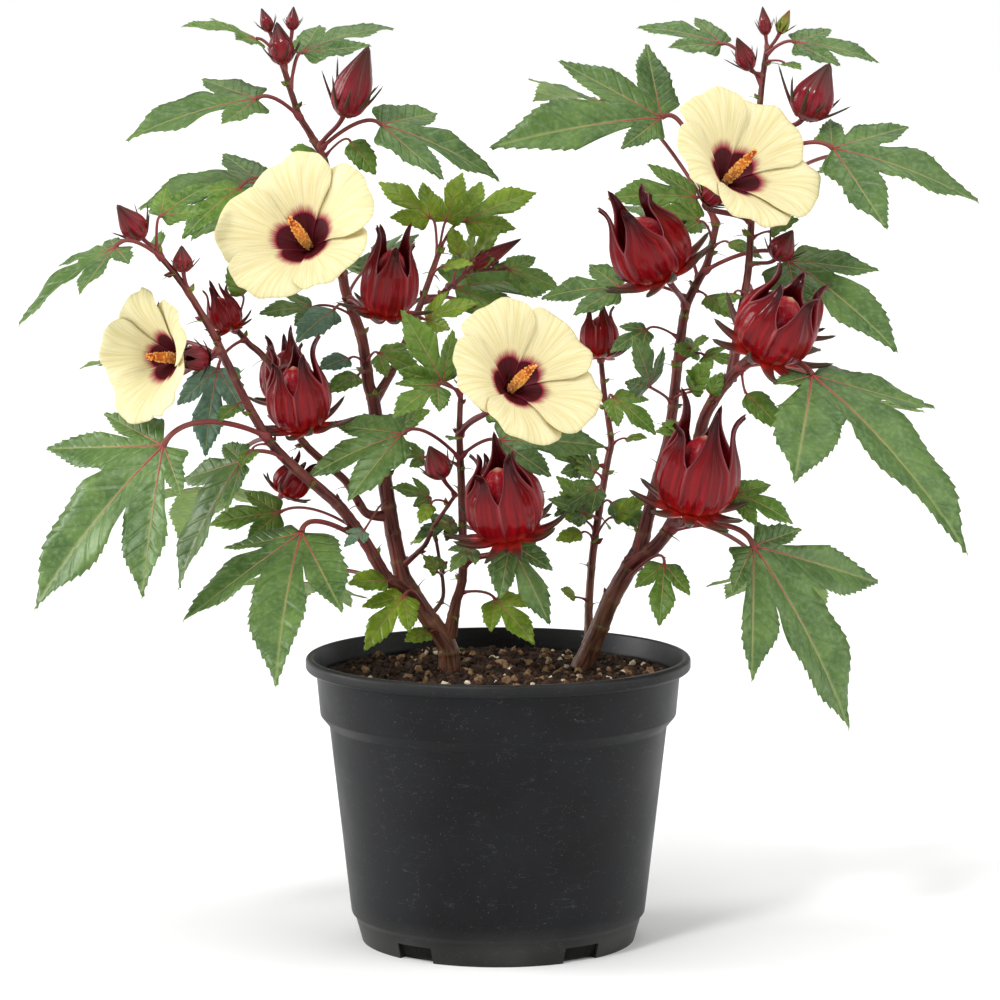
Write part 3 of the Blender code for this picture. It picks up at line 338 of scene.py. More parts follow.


# Damp peat: dark brown fibre and dust, matt, a little lighter where it has dried, with painted shade that darkens it
# to near black towards the bottom of the pot.
peat, nodes, shader = new_finish("damp_peat", {"Roughness": 0.95, "Specular IOR Level": 0.25})
here = put(nodes, "ShaderNodeTexCoord").outputs["Object"]
fibre = put(nodes, "ShaderNodeTexNoise", {"Vector": here, "Scale": 1 / 0.004, "Detail": 8})
brown = tinted(nodes, fibre, 0.42, 0.68, "#1a110b", "#402c1e")
height = put(nodes, "ShaderNodeSeparateXYZ", {0: here}).outputs["Z"]
# Painted shade: below 3 cm the peat goes near black, standing in for the shade inside the pot behind the drainage
# notches.
nodes.links.new(tinted(nodes, height, 0.03, 0.012, brown, "#0b0807"), shader.inputs["Base Color"])
bump = put(nodes, "ShaderNodeBump", {"Height": fibre, "Strength": 0.9, "Distance": 0.0015}).outputs[0]
nodes.links.new(bump, shader.inputs["Normal"])


def strewn_finish(name, low, high, roughness):
    """A matt finish that varies from lump to lump between two colours."""
    made, tree, surface = new_finish(name, {"Roughness": roughness, "Specular IOR Level": 0.3})
    at = put(tree, "ShaderNodeTexCoord").outputs["Object"]
    shade = put(tree, "ShaderNodeTexNoise", {"Vector": at, "Scale": 1 / 0.007, "Detail": 3})
    tree.links.new(tinted(tree, shade, 0.36, 0.64, low, high), surface.inputs["Base Color"])
    return made


top = soil_surface("soil_top", SOIL_SIDE[-1][0])
soil = turned("soil_body", SOIL_SIDE, POT_SIDES)
shape = bmesh.new()
shape.from_mesh(soil.data)
lid = [corner for corner in shape.verts if corner.co.xy.length < 0.001 and corner.co.z > 0.1]
bmesh.ops.delete(shape, geom=lid, context="VERTS")
shape.from_mesh(top.data)
bmesh.ops.bridge_loops(shape, edges=[e for e in shape.edges if e.is_boundary])
bmesh.ops.recalc_face_normals(shape, faces=shape.faces)
shape.to_mesh(soil.data)
shape.free()
soil.name = "potting_mix_peat"
soil.data.name = "potting_mix_peat"
soil.data.shade_smooth()
soil.data.materials.append(peat)
hand_over(soil, "soil", "potting_mix")
bpy.data.objects.remove(top)

top = soil_surface("strewn_ground", STREWN_OUT_TO)
strewing = strewing_tree()
for name, shape_of, density, sizes, colours in (
        ("peat_crumbs", (1.0, 0.8, 0.65), 42000, (0.0018, 0.0072), ("#170f0a", "#4a3120")),
        ("bark_chips", (1.25, 0.85, 0.55), 4200, (0.0030, 0.0088), ("#5c3f28", "#a08160")),
        ("perlite", (1.0, 0.85, 0.65), 1700, (0.0024, 0.0062), ("#c9b595", "#f1e8d4"))):
    lumps = rough_lumps(name + "_shapes", CRUMB_SHAPES, shape_of, len(name), 0.22)
    strewn = run_tree(name, add_object(name, top.data.copy()), strewing, Shapes=lumps, Density=density,
                      Smallest=sizes[0], Largest=sizes[1], Seed=len(name),
                      Finish=strewn_finish(name + "_surface", *colours, 0.85))
    drop_group(lumps)
    hand_over(strewn, "soil")
bpy.data.objects.remove(top)

# The stems. Two woody trunks rise from the soil and fork into slender boughs: smooth dark maroon bark,
# browner and rough at the root crown, with a raised scar wherever a leaf once stood. Each side stem
# grows out of its carrier through a small swollen collar.

EYE_DISTANCE = 2346
EYE_HEIGHT = 538
CLEAR = 0.0003
FLARE = 0.22
FLARE_FADE = 1.7
SEARCH_STEPS = 400
TANGENT_STEP = 0.02
RING_STEP = 0.0016
SCAR_GAP = (0.013, 0.024)
SCAR_SWELL = 0.11
SCAR_WIDE = 0.0012
ROOT_DEPTH = 0.008
WOODY_FROM = 0.004
WOODY_SIDES = 20
SLENDER_SIDES = 14

# What carries each stem, radii, where its foliage starts, and points in millimetres (to the right, to
# the back, up) as seen from in front.
STEMS = {
    "trunk_left": (None, 5.9, 5.2, 4, [
        (-29, 15, 159.6), (-31, 14, 178), (-42, 12, 194), (-50, 10, 206), (-57, 8, 218)]),
    "trunk_right": (None, 5.9, 5.2, 5, [
        (50, 25, 159.6), (55, 24, 175), (61, 22, 189), (67, 20, 204), (77, 16, 222), (84, 13, 234)]),
    "tall_left": ("trunk_left", 5.0, 1.7, 4, [
        (-57, 8, 218), (-63, 12, 246), (-69, 18, 288), (-74, 24, 324), (-77, 27, 334), (-81, 32, 362),
        (-91, 38, 392), (-96, 44, 431), (-103, 50, 467), (-117, 54, 492), (-126, 58, 520)]),
    "outer_left": ("trunk_left", 4.3, 1.6, 4, [
        (-51, 10, 207), (-66, 1, 217), (-76, -7, 234), (-94, -20, 260), (-118, -34, 281), (-136, -45, 300),
        (-153, -52, 330), (-168, -58, 362), (-188, -64, 395), (-204, -68, 414)]),
    "inner_left": ("tall_left", 2.8, 1.7, 2, [
        (-66, 14, 255), (-79, 9, 257), (-91, 8, 276), (-118, 8, 302), (-134, 8, 343), (-147, 8, 357),
        (-156, 8, 367)]),
    "centre": ("trunk_left", 3.5, 1.5, 1, [
        (-29, 14, 183), (-25, 8, 204), (-21, 2, 222), (-22, -8, 276), (-23, -13, 306), (-22, -16, 331)]),
    "slim_right": ("trunk_right", 2.7, 1.6, 1, [
        (55, 24, 175), (54, 38, 198), (57, 50, 237), (65, 66, 288), (67, 70, 300), (63, 76, 327),
        (61, 80, 347)]),
    "inner_right": ("trunk_right", 4.2, 2.0, 2, [
        (84, 13, 234), (93, 16, 270), (101, 20, 300), (105, 26, 333), (111, 34, 379), (123, 39, 404),
        (129, 44, 430)]),
    "outer_right": ("trunk_right", 4.4, 3.0, 5, [
        (79, 15, 226), (93, 5, 236), (104, -1, 252), (116, -12, 285), (123, -20, 315), (139, -30, 339),
        (150, -38, 349)]),
    "top_right": ("outer_right", 2.7, 1.6, 1, [
        (138, -29, 336), (144, -8, 378), (148, 6, 404), (151, 30, 463), (155, 45, 510), (158, 50, 532)]),
    "bright": ("tall_left", 2.7, 1.7, 0, [(-74, 24, 323), (-61, 40, 345), (-46, 64, 381), (-34, 86, 415)]),
    "bright_side": ("bright", 1.6, 1.2, 0, [(-46, 65, 382), (-34, 76, 386), (-17, 96, 400), (4, 110, 402)]),
    "front_twig": ("tall_left", 1.6, 1.1, 0, [(-58, 8, 224), (-44, -6, 237), (-38, -14, 249), (-25, -26, 268)]),
    "thin_twig": ("trunk_left", 1.3, 1.0, 0, [(-42, 12, 194), (-33, 22, 206), (-35, 24, 228), (-41, 28, 264)]),
}


def placed(x, y, z):
    """The point, in metres, at depth y that shows from in front at x and z."""
    spread = 1 + y / EYE_DISTANCE
    return Vector((x * spread, y, EYE_HEIGHT + (z - EYE_HEIGHT) * spread)) * MM


def seen_height(point):
    spread = 1 + point.y / (EYE_DISTANCE * MM)
    return EYE_HEIGHT + (point.z / MM - EYE_HEIGHT) / spread


def along_path(points, place):
    """The point at a place on a smooth curve through the points: 0 is the first, 1 the second, and so on."""
    span = min(int(place), len(points) - 2)
    f = place - span
    b, c = points[span], points[span + 1]
    a = points[span - 1] if span > 0 else b * 2 - c
    d = points[span + 2] if span + 2 < len(points) else c * 2 - b
    bend = (2 * a - 5 * b + 4 * c - d) * f * f
    return 0.5 * (2 * b + (c - a) * f + bend + (3 * b - a - 3 * c + d) * f ** 3)


class Stem:
    """One stem's axis and thickness, and where it starts on what carries it."""

    def __init__(self, name):
        carrier, thick, thin, self.bare, rows = STEMS[name]
        self.name = name
        self.points = [placed(*row) for row in rows]
        if carrier is None:
            self.points[0].z = SOIL_TOP * MM + CLEAR
        self.last = len(rows) - 1
        self.radii = (thick * MM, thin * MM)
        self.carrier = STEM_OF.get(carrier)

    def point(self, place):
        return along_path(self.points, place)

    def radius(self, place):
        thick, thin = self.radii
        straight = thick + (thin - thick) * place / self.last
        return straight if self.carrier else straight * (1 + FLARE * math.exp(-FLARE_FADE * place))

    def tangent(self, place):
        after = self.point(min(place + TANGENT_STEP, self.last))
        before = self.point(max(place - TANGENT_STEP, 0))
        return (after - before).normalized()

    def at_height(self, height):
        """The place where the stem, as seen from in front, passes a height in millimetres."""
        places = [self.last * n / SEARCH_STEPS for n in range(SEARCH_STEPS + 1)]
        return min(places, key=lambda place: abs(seen_height(self.point(place)) - height))


STEM_OF = {}
for stem_name in STEMS:
    STEM_OF[stem_name] = Stem(stem_name)


def rod_tree():
    """Geometry Nodes that make round rods along the paths of a mesh, with a rough skin."""
    tree = bpy.data.node_groups.new("rods_along_paths", "GeometryNodeTree")
    for name, kind in (("Paths", "Geometry"), ("Sides", "Int"), ("Relief", "Float"), ("Grain", "Float"),
                       ("Finish", "Material")):
        tree.interface.new_socket(name, in_out="INPUT", socket_type="NodeSocket" + kind)
    tree.interface.new_socket("Rods", in_out="OUTPUT", socket_type="NodeSocketGeometry")
    given = put(tree, "NodeGroupInput").outputs
    thickness = put(tree, "GeometryNodeInputNamedAttribute", {"Name": "thickness"}, data_type="FLOAT")
    curves = put(tree, "GeometryNodeMeshToCurve", {0: given["Paths"]})
    course = put(tree, "GeometryNodeSplineParameter")
    noted = put(tree, "GeometryNodeCaptureAttribute", {0: curves})
    noted.capture_items.new("FLOAT", "Length")
    noted.capture_items.new("FLOAT", "Factor")
    tree.links.new(course.outputs["Length"], noted.inputs[1])
    tree.links.new(course.outputs["Factor"], noted.inputs[2])
    ring = put(tree, "GeometryNodeCurvePrimitiveCircle", {"Resolution": given["Sides"], "Radius": 1.0})
    turn = put(tree, "GeometryNodeCaptureAttribute", {0: ring})
    turn.capture_items.new("FLOAT", "Turn")
    tree.links.new(put(tree, "GeometryNodeSplineParameter").outputs["Factor"], turn.inputs[1])
    rods = put(tree, "GeometryNodeCurveToMesh",
               {"Curve": noted, "Profile Curve": turn, "Scale": thickness,
                "Fill Caps": True})
    angle = put(tree, "ShaderNodeMath", {0: turn.outputs[1], 1: math.tau}, operation="MULTIPLY")
    cosine = put(tree, "ShaderNodeMath", {0: angle}, operation="COSINE")
    sine = put(tree, "ShaderNodeMath", {0: angle}, operation="SINE")
    across = put(tree, "ShaderNodeMath", {0: cosine, 1: thickness}, operation="MULTIPLY")
    over = put(tree, "ShaderNodeMath", {0: sine, 1: thickness}, operation="MULTIPLY")
    skin = put(tree, "ShaderNodeCombineXYZ", {0: across, 1: over, 2: noted.outputs[1]})
    kept = put(tree, "GeometryNodeStoreNamedAttribute",
               {0: rods, "Name": "skin", "Value": skin}, data_type="FLOAT_VECTOR")
    kept = put(tree, "GeometryNodeStoreNamedAttribute",
               {0: kept, "Name": "share", "Value": noted.outputs[2]}, data_type="FLOAT")
    fine = put(tree, "ShaderNodeTexNoise", {"Scale": 1.0, "Detail": 3.0})
    at = put(tree, "GeometryNodeInputPosition")
    scaled = put(tree, "ShaderNodeVectorMath", {0: at, "Scale": given["Grain"]}, operation="SCALE")
    tree.links.new(scaled.outputs[0], fine.inputs["Vector"])
    swing = put(tree, "ShaderNodeMath", {0: fine, 1: 0.5}, operation="SUBTRACT")
    amount = put(tree, "ShaderNodeMath", {0: swing, 1: given["Relief"]}, operation="MULTIPLY")
    normal = put(tree, "GeometryNodeInputNormal")
    push = put(tree, "ShaderNodeVectorMath", {0: normal, "Scale": amount}, operation="SCALE")
    rough = put(tree, "GeometryNodeSetPosition", {0: kept, "Offset": push})
    smooth = put(tree, "GeometryNodeSetShadeSmooth", {0: rough})
    solid = put(tree, "GeometryNodeRealizeInstances", {0: smooth})
    painted = put(tree, "GeometryNodeSetMaterial", {0: solid, "Material": given["Finish"]})
    put(tree, "NodeGroupOutput", {0: painted})
    return tree


rod_rule = rod_tree()


def rods(name, paths, sides, relief, grain, finish):
    """One piece of rods. Each path is a list of (point, thickness, mark), where a mark is a colour's share."""
    corners = [row[0] for path in paths for row in path]
    edges = []
    start = 0
    for path in paths:
        edges += [(start + n, start + n + 1) for n in range(len(path) - 1)]
        start += len(path)
    made = add_mesh(name + "_paths", corners, [], edges)
    for column, label in ((1, "thickness"), (2, "mark")):
        values = [row[column] for path in paths for row in path]
        made.data.attributes.new(label, "FLOAT", "POINT").data.foreach_set("value", values)
    return run_tree(name, made, rod_rule, Sides=sides, Relief=relief, Grain=1 / grain, Finish=finish)


def smooth_path(points, radii, step):
    """Evenly spaced (point, radius) rows on a smooth curve through the points."""
    rows = []
    for span in range(len(points) - 1):
        count = max(1, round((points[span + 1] - points[span]).length / step))
        for n in range(count):
            f = n / count
            rows.append((along_path(points, span + f), radii[span] + (radii[span + 1] - radii[span]) * f))
    return rows + [(points[-1], radii[-1])]


def skin_start(carrier, place, towards):
    """A point on a stem's skin on the side towards a target."""
    axis = carrier.tangent(place)
    centre = carrier.point(place)
    out = towards - centre
    out = (out - axis * out.dot(axis)).normalized()
    return centre + out * carrier.radius(place)


def stem_course(stem):
    """A stem's points and radii from inside its carrier to its tip."""
    count = 2 * stem.last
    points = [stem.point(n / 2) for n in range(count + 1)]
    radii = [stem.radius(n / 2) for n in range(count + 1)]
    if stem.carrier is None:
        down = Vector((0.0, 0.0, ROOT_DEPTH))
        return [points[0] - down] + points, [radii[0] * 1.25] + radii
    if (stem.points[0] - stem.carrier.points[-1]).length < CLEAR:
        inside = stem.carrier.tangent(stem.carrier.last) * stem.radii[0]
        return [points[0] - inside] + points, [stem.carrier.radii[1]] + [stem.carrier.radii[1]] + radii[1:]
    swollen = [radii[0] * 1.35, radii[1] * 1.12] + radii[2:]
    return points, swollen


def scarred(rows, draw, knobs):
    """Adds the swellings of old leaf scars to a stem's rows, and the spots where they stand to the knobs."""
    travel = [0.0]
    for (a, _), (b, _) in zip(rows, rows[1:]):
        travel.append(travel[-1] + (b - a).length)
    scars = [draw.uniform(*SCAR_GAP)]
    while scars[-1] < travel[-1]:
        scars.append(scars[-1] + draw.uniform(*SCAR_GAP))
    made = []
    strength = draw.uniform(0.5, 1.0)
    for (point, radius), distance in zip(rows, travel):
        near = max(math.exp(-((distance - scar) / SCAR_WIDE) ** 2) for scar in scars)
        made.append((point, radius * (1 + SCAR_SWELL * near), near * strength))
    for scar in scars[:-1]:
        n = min(range(len(rows) - 1), key=lambda row: abs(travel[row] - scar))
        knobs.append((rows[n][0], (rows[n + 1][0] - rows[n][0]).normalized(), rows[n][1]))
    return made


# Stem skin: thin smooth bark over green wood, maroon from the sun, glossy, with fine lengthwise
# streaks. The mark attribute is 1 on a leaf scar, which stays paler and greener.
stem_skin, nodes, shader = new_finish("maroon_stem_bark", {"Roughness": 0.36, "Specular IOR Level": 0.22})
here = put(nodes, "ShaderNodeTexCoord").outputs["Object"]
height = put(nodes, "ShaderNodeSeparateXYZ", {0: here}).outputs["Z"]
on_skin = put(nodes, "ShaderNodeAttribute", attribute_name="skin").outputs["Vector"]
drawn = put(nodes, "ShaderNodeMapping", {0: on_skin, "Scale": (1 / 0.0016, 1 / 0.0016, 1 / 0.018)})
streaks = put(nodes, "ShaderNodeTexNoise", {"Vector": drawn, "Scale": 1.0, "Detail": 5})
maroon = tinted(nodes, streaks, 0.36, 0.66, "#3a1718", "#7d4038")
woody = tinted(nodes, streaks, 0.36, 0.66, "#452a20", "#865843")
patches = put(nodes, "ShaderNodeTexNoise", {"Vector": here, "Scale": 1 / 0.02, "Detail": 3})
low_down = put(nodes, "ShaderNodeMapRange", {0: height, 1: 0.245, 2: 0.17, 3: -0.35, 4: 0.6})
lower = put(nodes, "ShaderNodeMath", {0: low_down, 1: patches}, operation="ADD")
bark = tinted(nodes, lower, 0.35, 0.85, maroon, woody)
mark = put(nodes, "ShaderNodeAttribute", attribute_name="mark").outputs["Fac"]
nodes.links.new(tinted(nodes, mark, 0.0, 1.0, bark, "#86704c", 0.35), shader.inputs["Base Color"])
bump = put(nodes, "ShaderNodeBump", {"Height": streaks, "Strength": 0.4, "Distance": 0.0004}).outputs[0]
nodes.links.new(bump, shader.inputs["Normal"])

draw = random.Random(5)
thick_paths = []
thin_paths = []
knobs = []
for stem in STEM_OF.values():
    points, radii = stem_course(stem)
    rows = scarred(smooth_path(points, radii, RING_STEP), draw, knobs)
    (thick_paths if stem.radii[0] > WOODY_FROM else thin_paths).append(rows)
stems = rods("stems_woody", thick_paths, WOODY_SIDES, 0.0009, 0.004, stem_skin)
limb_nodes = [node for node in frame["nodes"] if node.startswith(("trunk", "bough"))]
hand_over(stems, "stem_bark", *limb_nodes)
twigs = rods("stems_slender", thin_paths, SLENDER_SIDES, 0.0004, 0.003, stem_skin)
hand_over(twigs, "stem_bark")

# The calyces. After the flower falls, its five sepals and the ring of slim bracts below them swell
# into a crisp fleshy cup, glossy crimson with raised ribs, round the seed capsule. Each sits on a
# short stout stalk of the stem's own bark.

SEPALS = 5
SEPAL_ACROSS = (-1.0, -0.95, -0.86, -0.68, -0.5, -0.3, -0.12, 0.0, 0.12, 0.3, 0.5, 0.68, 0.86, 0.95, 1.0)
SEPAL_ROWS = 22
SEPAL_SPLIT = 11
CUP_LINE = ((0.0, 0.30), (0.06, 0.66), (0.15, 0.87), (0.28, 0.95), (0.42, 0.93), (0.55, 0.84), (0.68, 0.68),
            (0.80, 0.53), (0.90, 0.46), (1.0, 0.47))
FLESH = 0.07
SEAM = 0.000001
STALK_SIDES = 10
BRACTS = 10
CLAW_STEPS = 9
CLAW_SECTION = ((1.0, 0.1), (0.5, 1.0), (-0.5, 1.0), (-1.0, 0.1), (-0.55, -0.8), (0.55, -0.8))

# Height of the joint, foot, tip and half of the width.
CALYCES = {
    "tall_left": [(384, (-67, -5, 375), (-59, -25, 430), 17)],
    "inner_left": [(306, (-116, -22, 307), (-124, -40, 359), 19), (365, (-158, 8, 366), (-169, 4, 393), 10),
                   (330, (-125, 40, 322), (-128, 60, 366), 16)],
    "outer_left": [(284, (-128, -14, 268), (-113, -14, 290), 11), (350, (-200, -12, 345), (-206, 8, 384), 13)],
    "centre": [(225, (7, -38, 243), (-4, -62, 300), 23), (240, (4, 40, 250), (-2, 62, 298), 18)],
    "inner_right": [(379, (99, 5, 398), (73, -10, 446), 24)],
    "outer_right": [(349, (156, -50, 352), (181, -72, 398), 24), (246, (114, -46, 258), (127, -66, 321), 24)],
    "top_right": [(392, (172, 38, 362), (182, 66, 402), 17)],
    "slim_right": [(347, (60, 78, 349), (59, 84, 384), 12)],
}


def across_of(direction):
    """Two directions square to this one and to each other."""
    side = direction.cross(Vector((0.0, 0.0, 1.0)))
    if side.length < 0.05:
        side = Vector((1.0, 0.0, 0.0))
    side.normalize()
    return side, side.cross(direction).normalized()


def around(side, up, turn):
    """The direction at an angle round an axis, from two directions square to it."""
    return side * math.cos(turn) + up * math.sin(turn)


def bezier(a, b, c, d, count):
    points = []
    for n in range(count + 1):
        t = n / count
        s = 1 - t
        points.append(a * s ** 3 + b * (3 * s * s * t) + c * (3 * s * t * t) + d * t ** 3)
    return points


def on_line(line, place):
    """The height of a smooth line through (place, height) points."""
    n = 0
    while n < len(line) - 2 and place > line[n + 1][0]:
        n += 1
    before, (a, low), (b, high), after = line[max(n - 1, 0)], line[n], line[n + 1], line[min(n + 2, len(line) - 1)]
    f = (place - a) / (b - a)
    slope_in = (high - before[1]) / (b - before[0]) * (b - a)
    slope_out = (after[1] - low) / (after[0] - a) * (b - a)
    rise = high - low
    return low + f * (slope_in + f * (3 * rise - 2 * slope_in - slope_out + f * (slope_in + slope_out - 2 * rise)))


class Kept:
    """The space that limbs, leaves and fruit already fill, as balls along them."""

    def __init__(self):
        self.balls = []

    def add(self, points, radius, owner):
        self.balls += [(point, radius, owner) for point in points]

    def free(self, points, radius, owner):
        return all((p - q).length > radius + r for p in points for q, r, who in self.balls if who != owner)


KEPT = Kept()
for stem in STEM_OF.values():
    KEPT.add([stem.point(n / 4) for n in range(4 * stem.last + 1)], stem.radii[0] + 0.002, stem.name)


class Store:
    """The corners, faces, patterns' places and finishes of a piece that is made up of many like ones."""

    def __init__(self):
        self.corners = []
        self.faces = []
        self.places = []
        self.kinds = []

    def add(self, corners, faces, places, kinds=None):
        """Adds a shape: places holds a pattern place for each corner of each face."""
        start = len(self.corners)
        self.corners += corners
        self.faces += [tuple(start + n for n in face) for face in faces]
        self.places += [place for row in places for place in row]
        self.kinds += kinds or [0] * len(faces)

    def piece(self, name, finishes, weld=None):
        made = add_mesh(name, self.corners, self.faces)
        layer = made.data.uv_layers.new(name="pattern")
        layer.data.foreach_set("uv", [value for place in self.places for value in place])
        for finish in finishes:
            made.data.materials.append(finish)
        made.data.polygons.foreach_set("material_index", self.kinds)
        if weld:
            shape = bmesh.new()
            shape.from_mesh(made.data)
            bmesh.ops.remove_doubles(shape, verts=shape.verts, dist=weld)
            shape.to_mesh(made.data)
            shape.free()
        made.data.shade_smooth()
        return made


def stalk(stem, joint, foot, ahead, radius, rise=0.1):
    """The rows of a short stalk from inside a stem to the foot of a fruit, bud or flower."""
    place = stem.at_height(joint)
    start = stem.point(place)
    span = (foot - start).length
    out = start + (foot - start) * 0.3 + Vector((0.0, 0.0, span * rise))
    points = bezier(start, out, foot - ahead * span * 0.4, foot, max(6, round(span / 0.002)))
    rows = []
    for n, point in enumerate(points):
        share = n / (len(points) - 1)
        skin = max(0.0, (point - start).length - stem.radius(place))
        collar = 0.7 * math.exp(-(skin / 0.0016) ** 2)
        head = 0.35 * share ** 6
        rows.append((point, radius * (1 + collar + head), collar))
    return rows


def sepal_sheets(store, foot, ahead, length, wide, draw, flare=(0.0, 0.55), uneven=0.24):
    """Five thick sepals, joined below into a ribbed cup and free above, where their points part and curl out."""
    side, up = across_of(ahead)
    for n in range(SEPALS):
        middle = math.tau * n / SEPALS
        lean = draw.uniform(-0.20, 0.20)
        reach = length * draw.uniform(1.02 - uneven, 1.02)
        curl = draw.uniform(*flare)
        outer = []
        inner = []
        for row in range(SEPAL_ROWS + 1):
            v = row / SEPAL_ROWS
            free = max(0.0, (row - SEPAL_SPLIT) / (SEPAL_ROWS - SEPAL_SPLIT))
            half = math.pi / SEPALS * (1 - free) ** 0.75 * (1 - 0.22 * math.sin(math.pi * free))
            split_at = SEPAL_SPLIT / SEPAL_ROWS
            along = length * v if free == 0 else length * split_at + (reach - length * split_at) * free
            for u in SEPAL_ACROSS:
                turn = middle + u * half + lean * free
                belly = 0.07 * (math.cos(u * math.pi / 2) - 0.4) + 0.05 * math.exp(-(u / 0.11) ** 2)
                belly += 0.022 * math.cos(u * 4 * math.pi)
                lip = 0.07 * math.exp(-((1 - abs(u)) / 0.07) ** 2) - 0.035 * math.exp(-((abs(u) - 0.84) / 0.10) ** 2)
                body = on_line(CUP_LINE, v) * (1 + (belly + lip) * min(1.0, v * 4)) + curl * free ** 2.2
                thick = FLESH * (1 - 0.7 * v) * (1 - 0.4 * free * u * u)
                out = around(side, up, turn)
                at = foot + ahead * (along + 0.04 * length * free * u * u)
                outer.append(at + out * wide * body)
                inner.append(at + out * wide * max(0.02, body - thick))
        add_sheet(store, outer, inner)


def add_sheet(store, outer, inner):
    """A grid of corners and the one behind it as a thick sheet. Its sides are closed where sepals are free."""
    columns = len(SEPAL_ACROSS) - 1
    wide = columns + 1
    behind = len(outer)
    faces = []

    def place(corner):
        corner %= behind
        return ((SEPAL_ACROSS[corner % wide] + 1) / 2, corner // wide / SEPAL_ROWS)

    for row in range(SEPAL_ROWS):
        for column in range(columns):
            a = row * wide + column
            quad = (a, a + 1, a + 1 + wide, a + wide)
            faces.append(quad)
            faces.append(tuple(behind + n for n in reversed(quad)))
        if row >= SEPAL_SPLIT:
            left, right = row * wide, row * wide + columns
            faces.append((left, left + wide, behind + left + wide, behind + left))
            faces.append((right, behind + right, behind + right + wide, right + wide))
    for column in range(columns):
        a = SEPAL_ROWS * wide + column
        faces.append((a, a + 1, behind + a + 1, behind + a))
    places = [[place(corner) for corner in face] for face in faces]
    kinds = [1 if min(face) >= behind else 0 for face in faces]
    store.add(outer + inner, faces, places, kinds)


def ovoid(store, foot, ahead, length, wide, line, sides, rings, grooves=5, depth=0.0, twist=0.0):
    """A closed pointed body about an axis, with grooves along it. Its pattern starts anew at each groove."""
    side, up = across_of(ahead)
    corners = [foot]
    for ring in range(1, rings):
        v = ring / rings
        for s in range(sides):
            turn = math.tau * s / sides
            groove = 1 - depth * math.cos(grooves * turn * 0.5) ** 6 * math.sin(math.pi * v) ** 0.5
            radius = wide * on_line(line, v) * groove
            way = turn + twist * v
            corners.append(foot + ahead * length * v + around(side, up, way) * radius)
    corners.append(foot + ahead * length)
    faces = []
    places = []
    tip = len(corners) - 1
    for s in range(sides):
        e = (s + 1) % sides
        here, there = grooves * s / sides, grooves * (s + 1) / sides
        faces.append((0, 1 + e, 1 + s))
        places.append([(here, 0.0), (there, 1 / rings), (here, 1 / rings)])
        faces.append((tip, tip - sides + s, tip - sides + e))
        places.append([(here, 1.0), (here, 1 - 1 / rings), (there, 1 - 1 / rings)])
        for ring in range(rings - 2):
            low, high = 1 + ring * sides, 1 + (ring + 1) * sides
            faces.append((low + s, low + e, high + e, high + s))
            below, above = (ring + 1) / rings, (ring + 2) / rings
            places.append([(here, below), (there, below), (there, above), (here, above)])
    store.add(corners, faces, places)


def claw(store, start, way, bend, length, wide, thick, ripe=0.0):
    """A flattened pointed bract that sets out one way and bends another, rim raised, patterned foot to tip."""
    side = way.cross(bend).normalized()
    count = len(CLAW_SECTION)
    corners = []
    for n in range(CLAW_STEPS):
        t = n / CLAW_STEPS
        over = side.cross(way + bend * (2 * t)).normalized()
        half = wide * (1 - t ** 1.1) * (1 + 0.25 * t)
        deep = thick * (1 - 0.6 * t)
        middle = start + (way * t + bend * (t * t)) * length
        corners += [middle + side * (half * a) + over * (deep * b) for a, b in CLAW_SECTION]
    corners.append(start + (way + bend) * length)
    tip = len(corners) - 1
    faces = [tuple(range(count - 1, -1, -1))]
    for n in range(CLAW_STEPS - 1):
        low, high = n * count, (n + 1) * count
        faces += [(low + s, low + (s + 1) % count, high + (s + 1) % count, high + s) for s in range(count)]
    faces += [(tip, tip - count + s, tip - count + (s + 1) % count) for s in range(count)]

    def place(corner):
        share = 1.0 if corner == tip else corner // count / CLAW_STEPS
        across = 0.5 if corner == tip else 0.5 + 0.5 * CLAW_SECTION[corner % count][0]
        return (across, ripe + (1 - ripe) * share)

    store.add(corners, faces, [[place(corner) for corner in face] for face in faces])


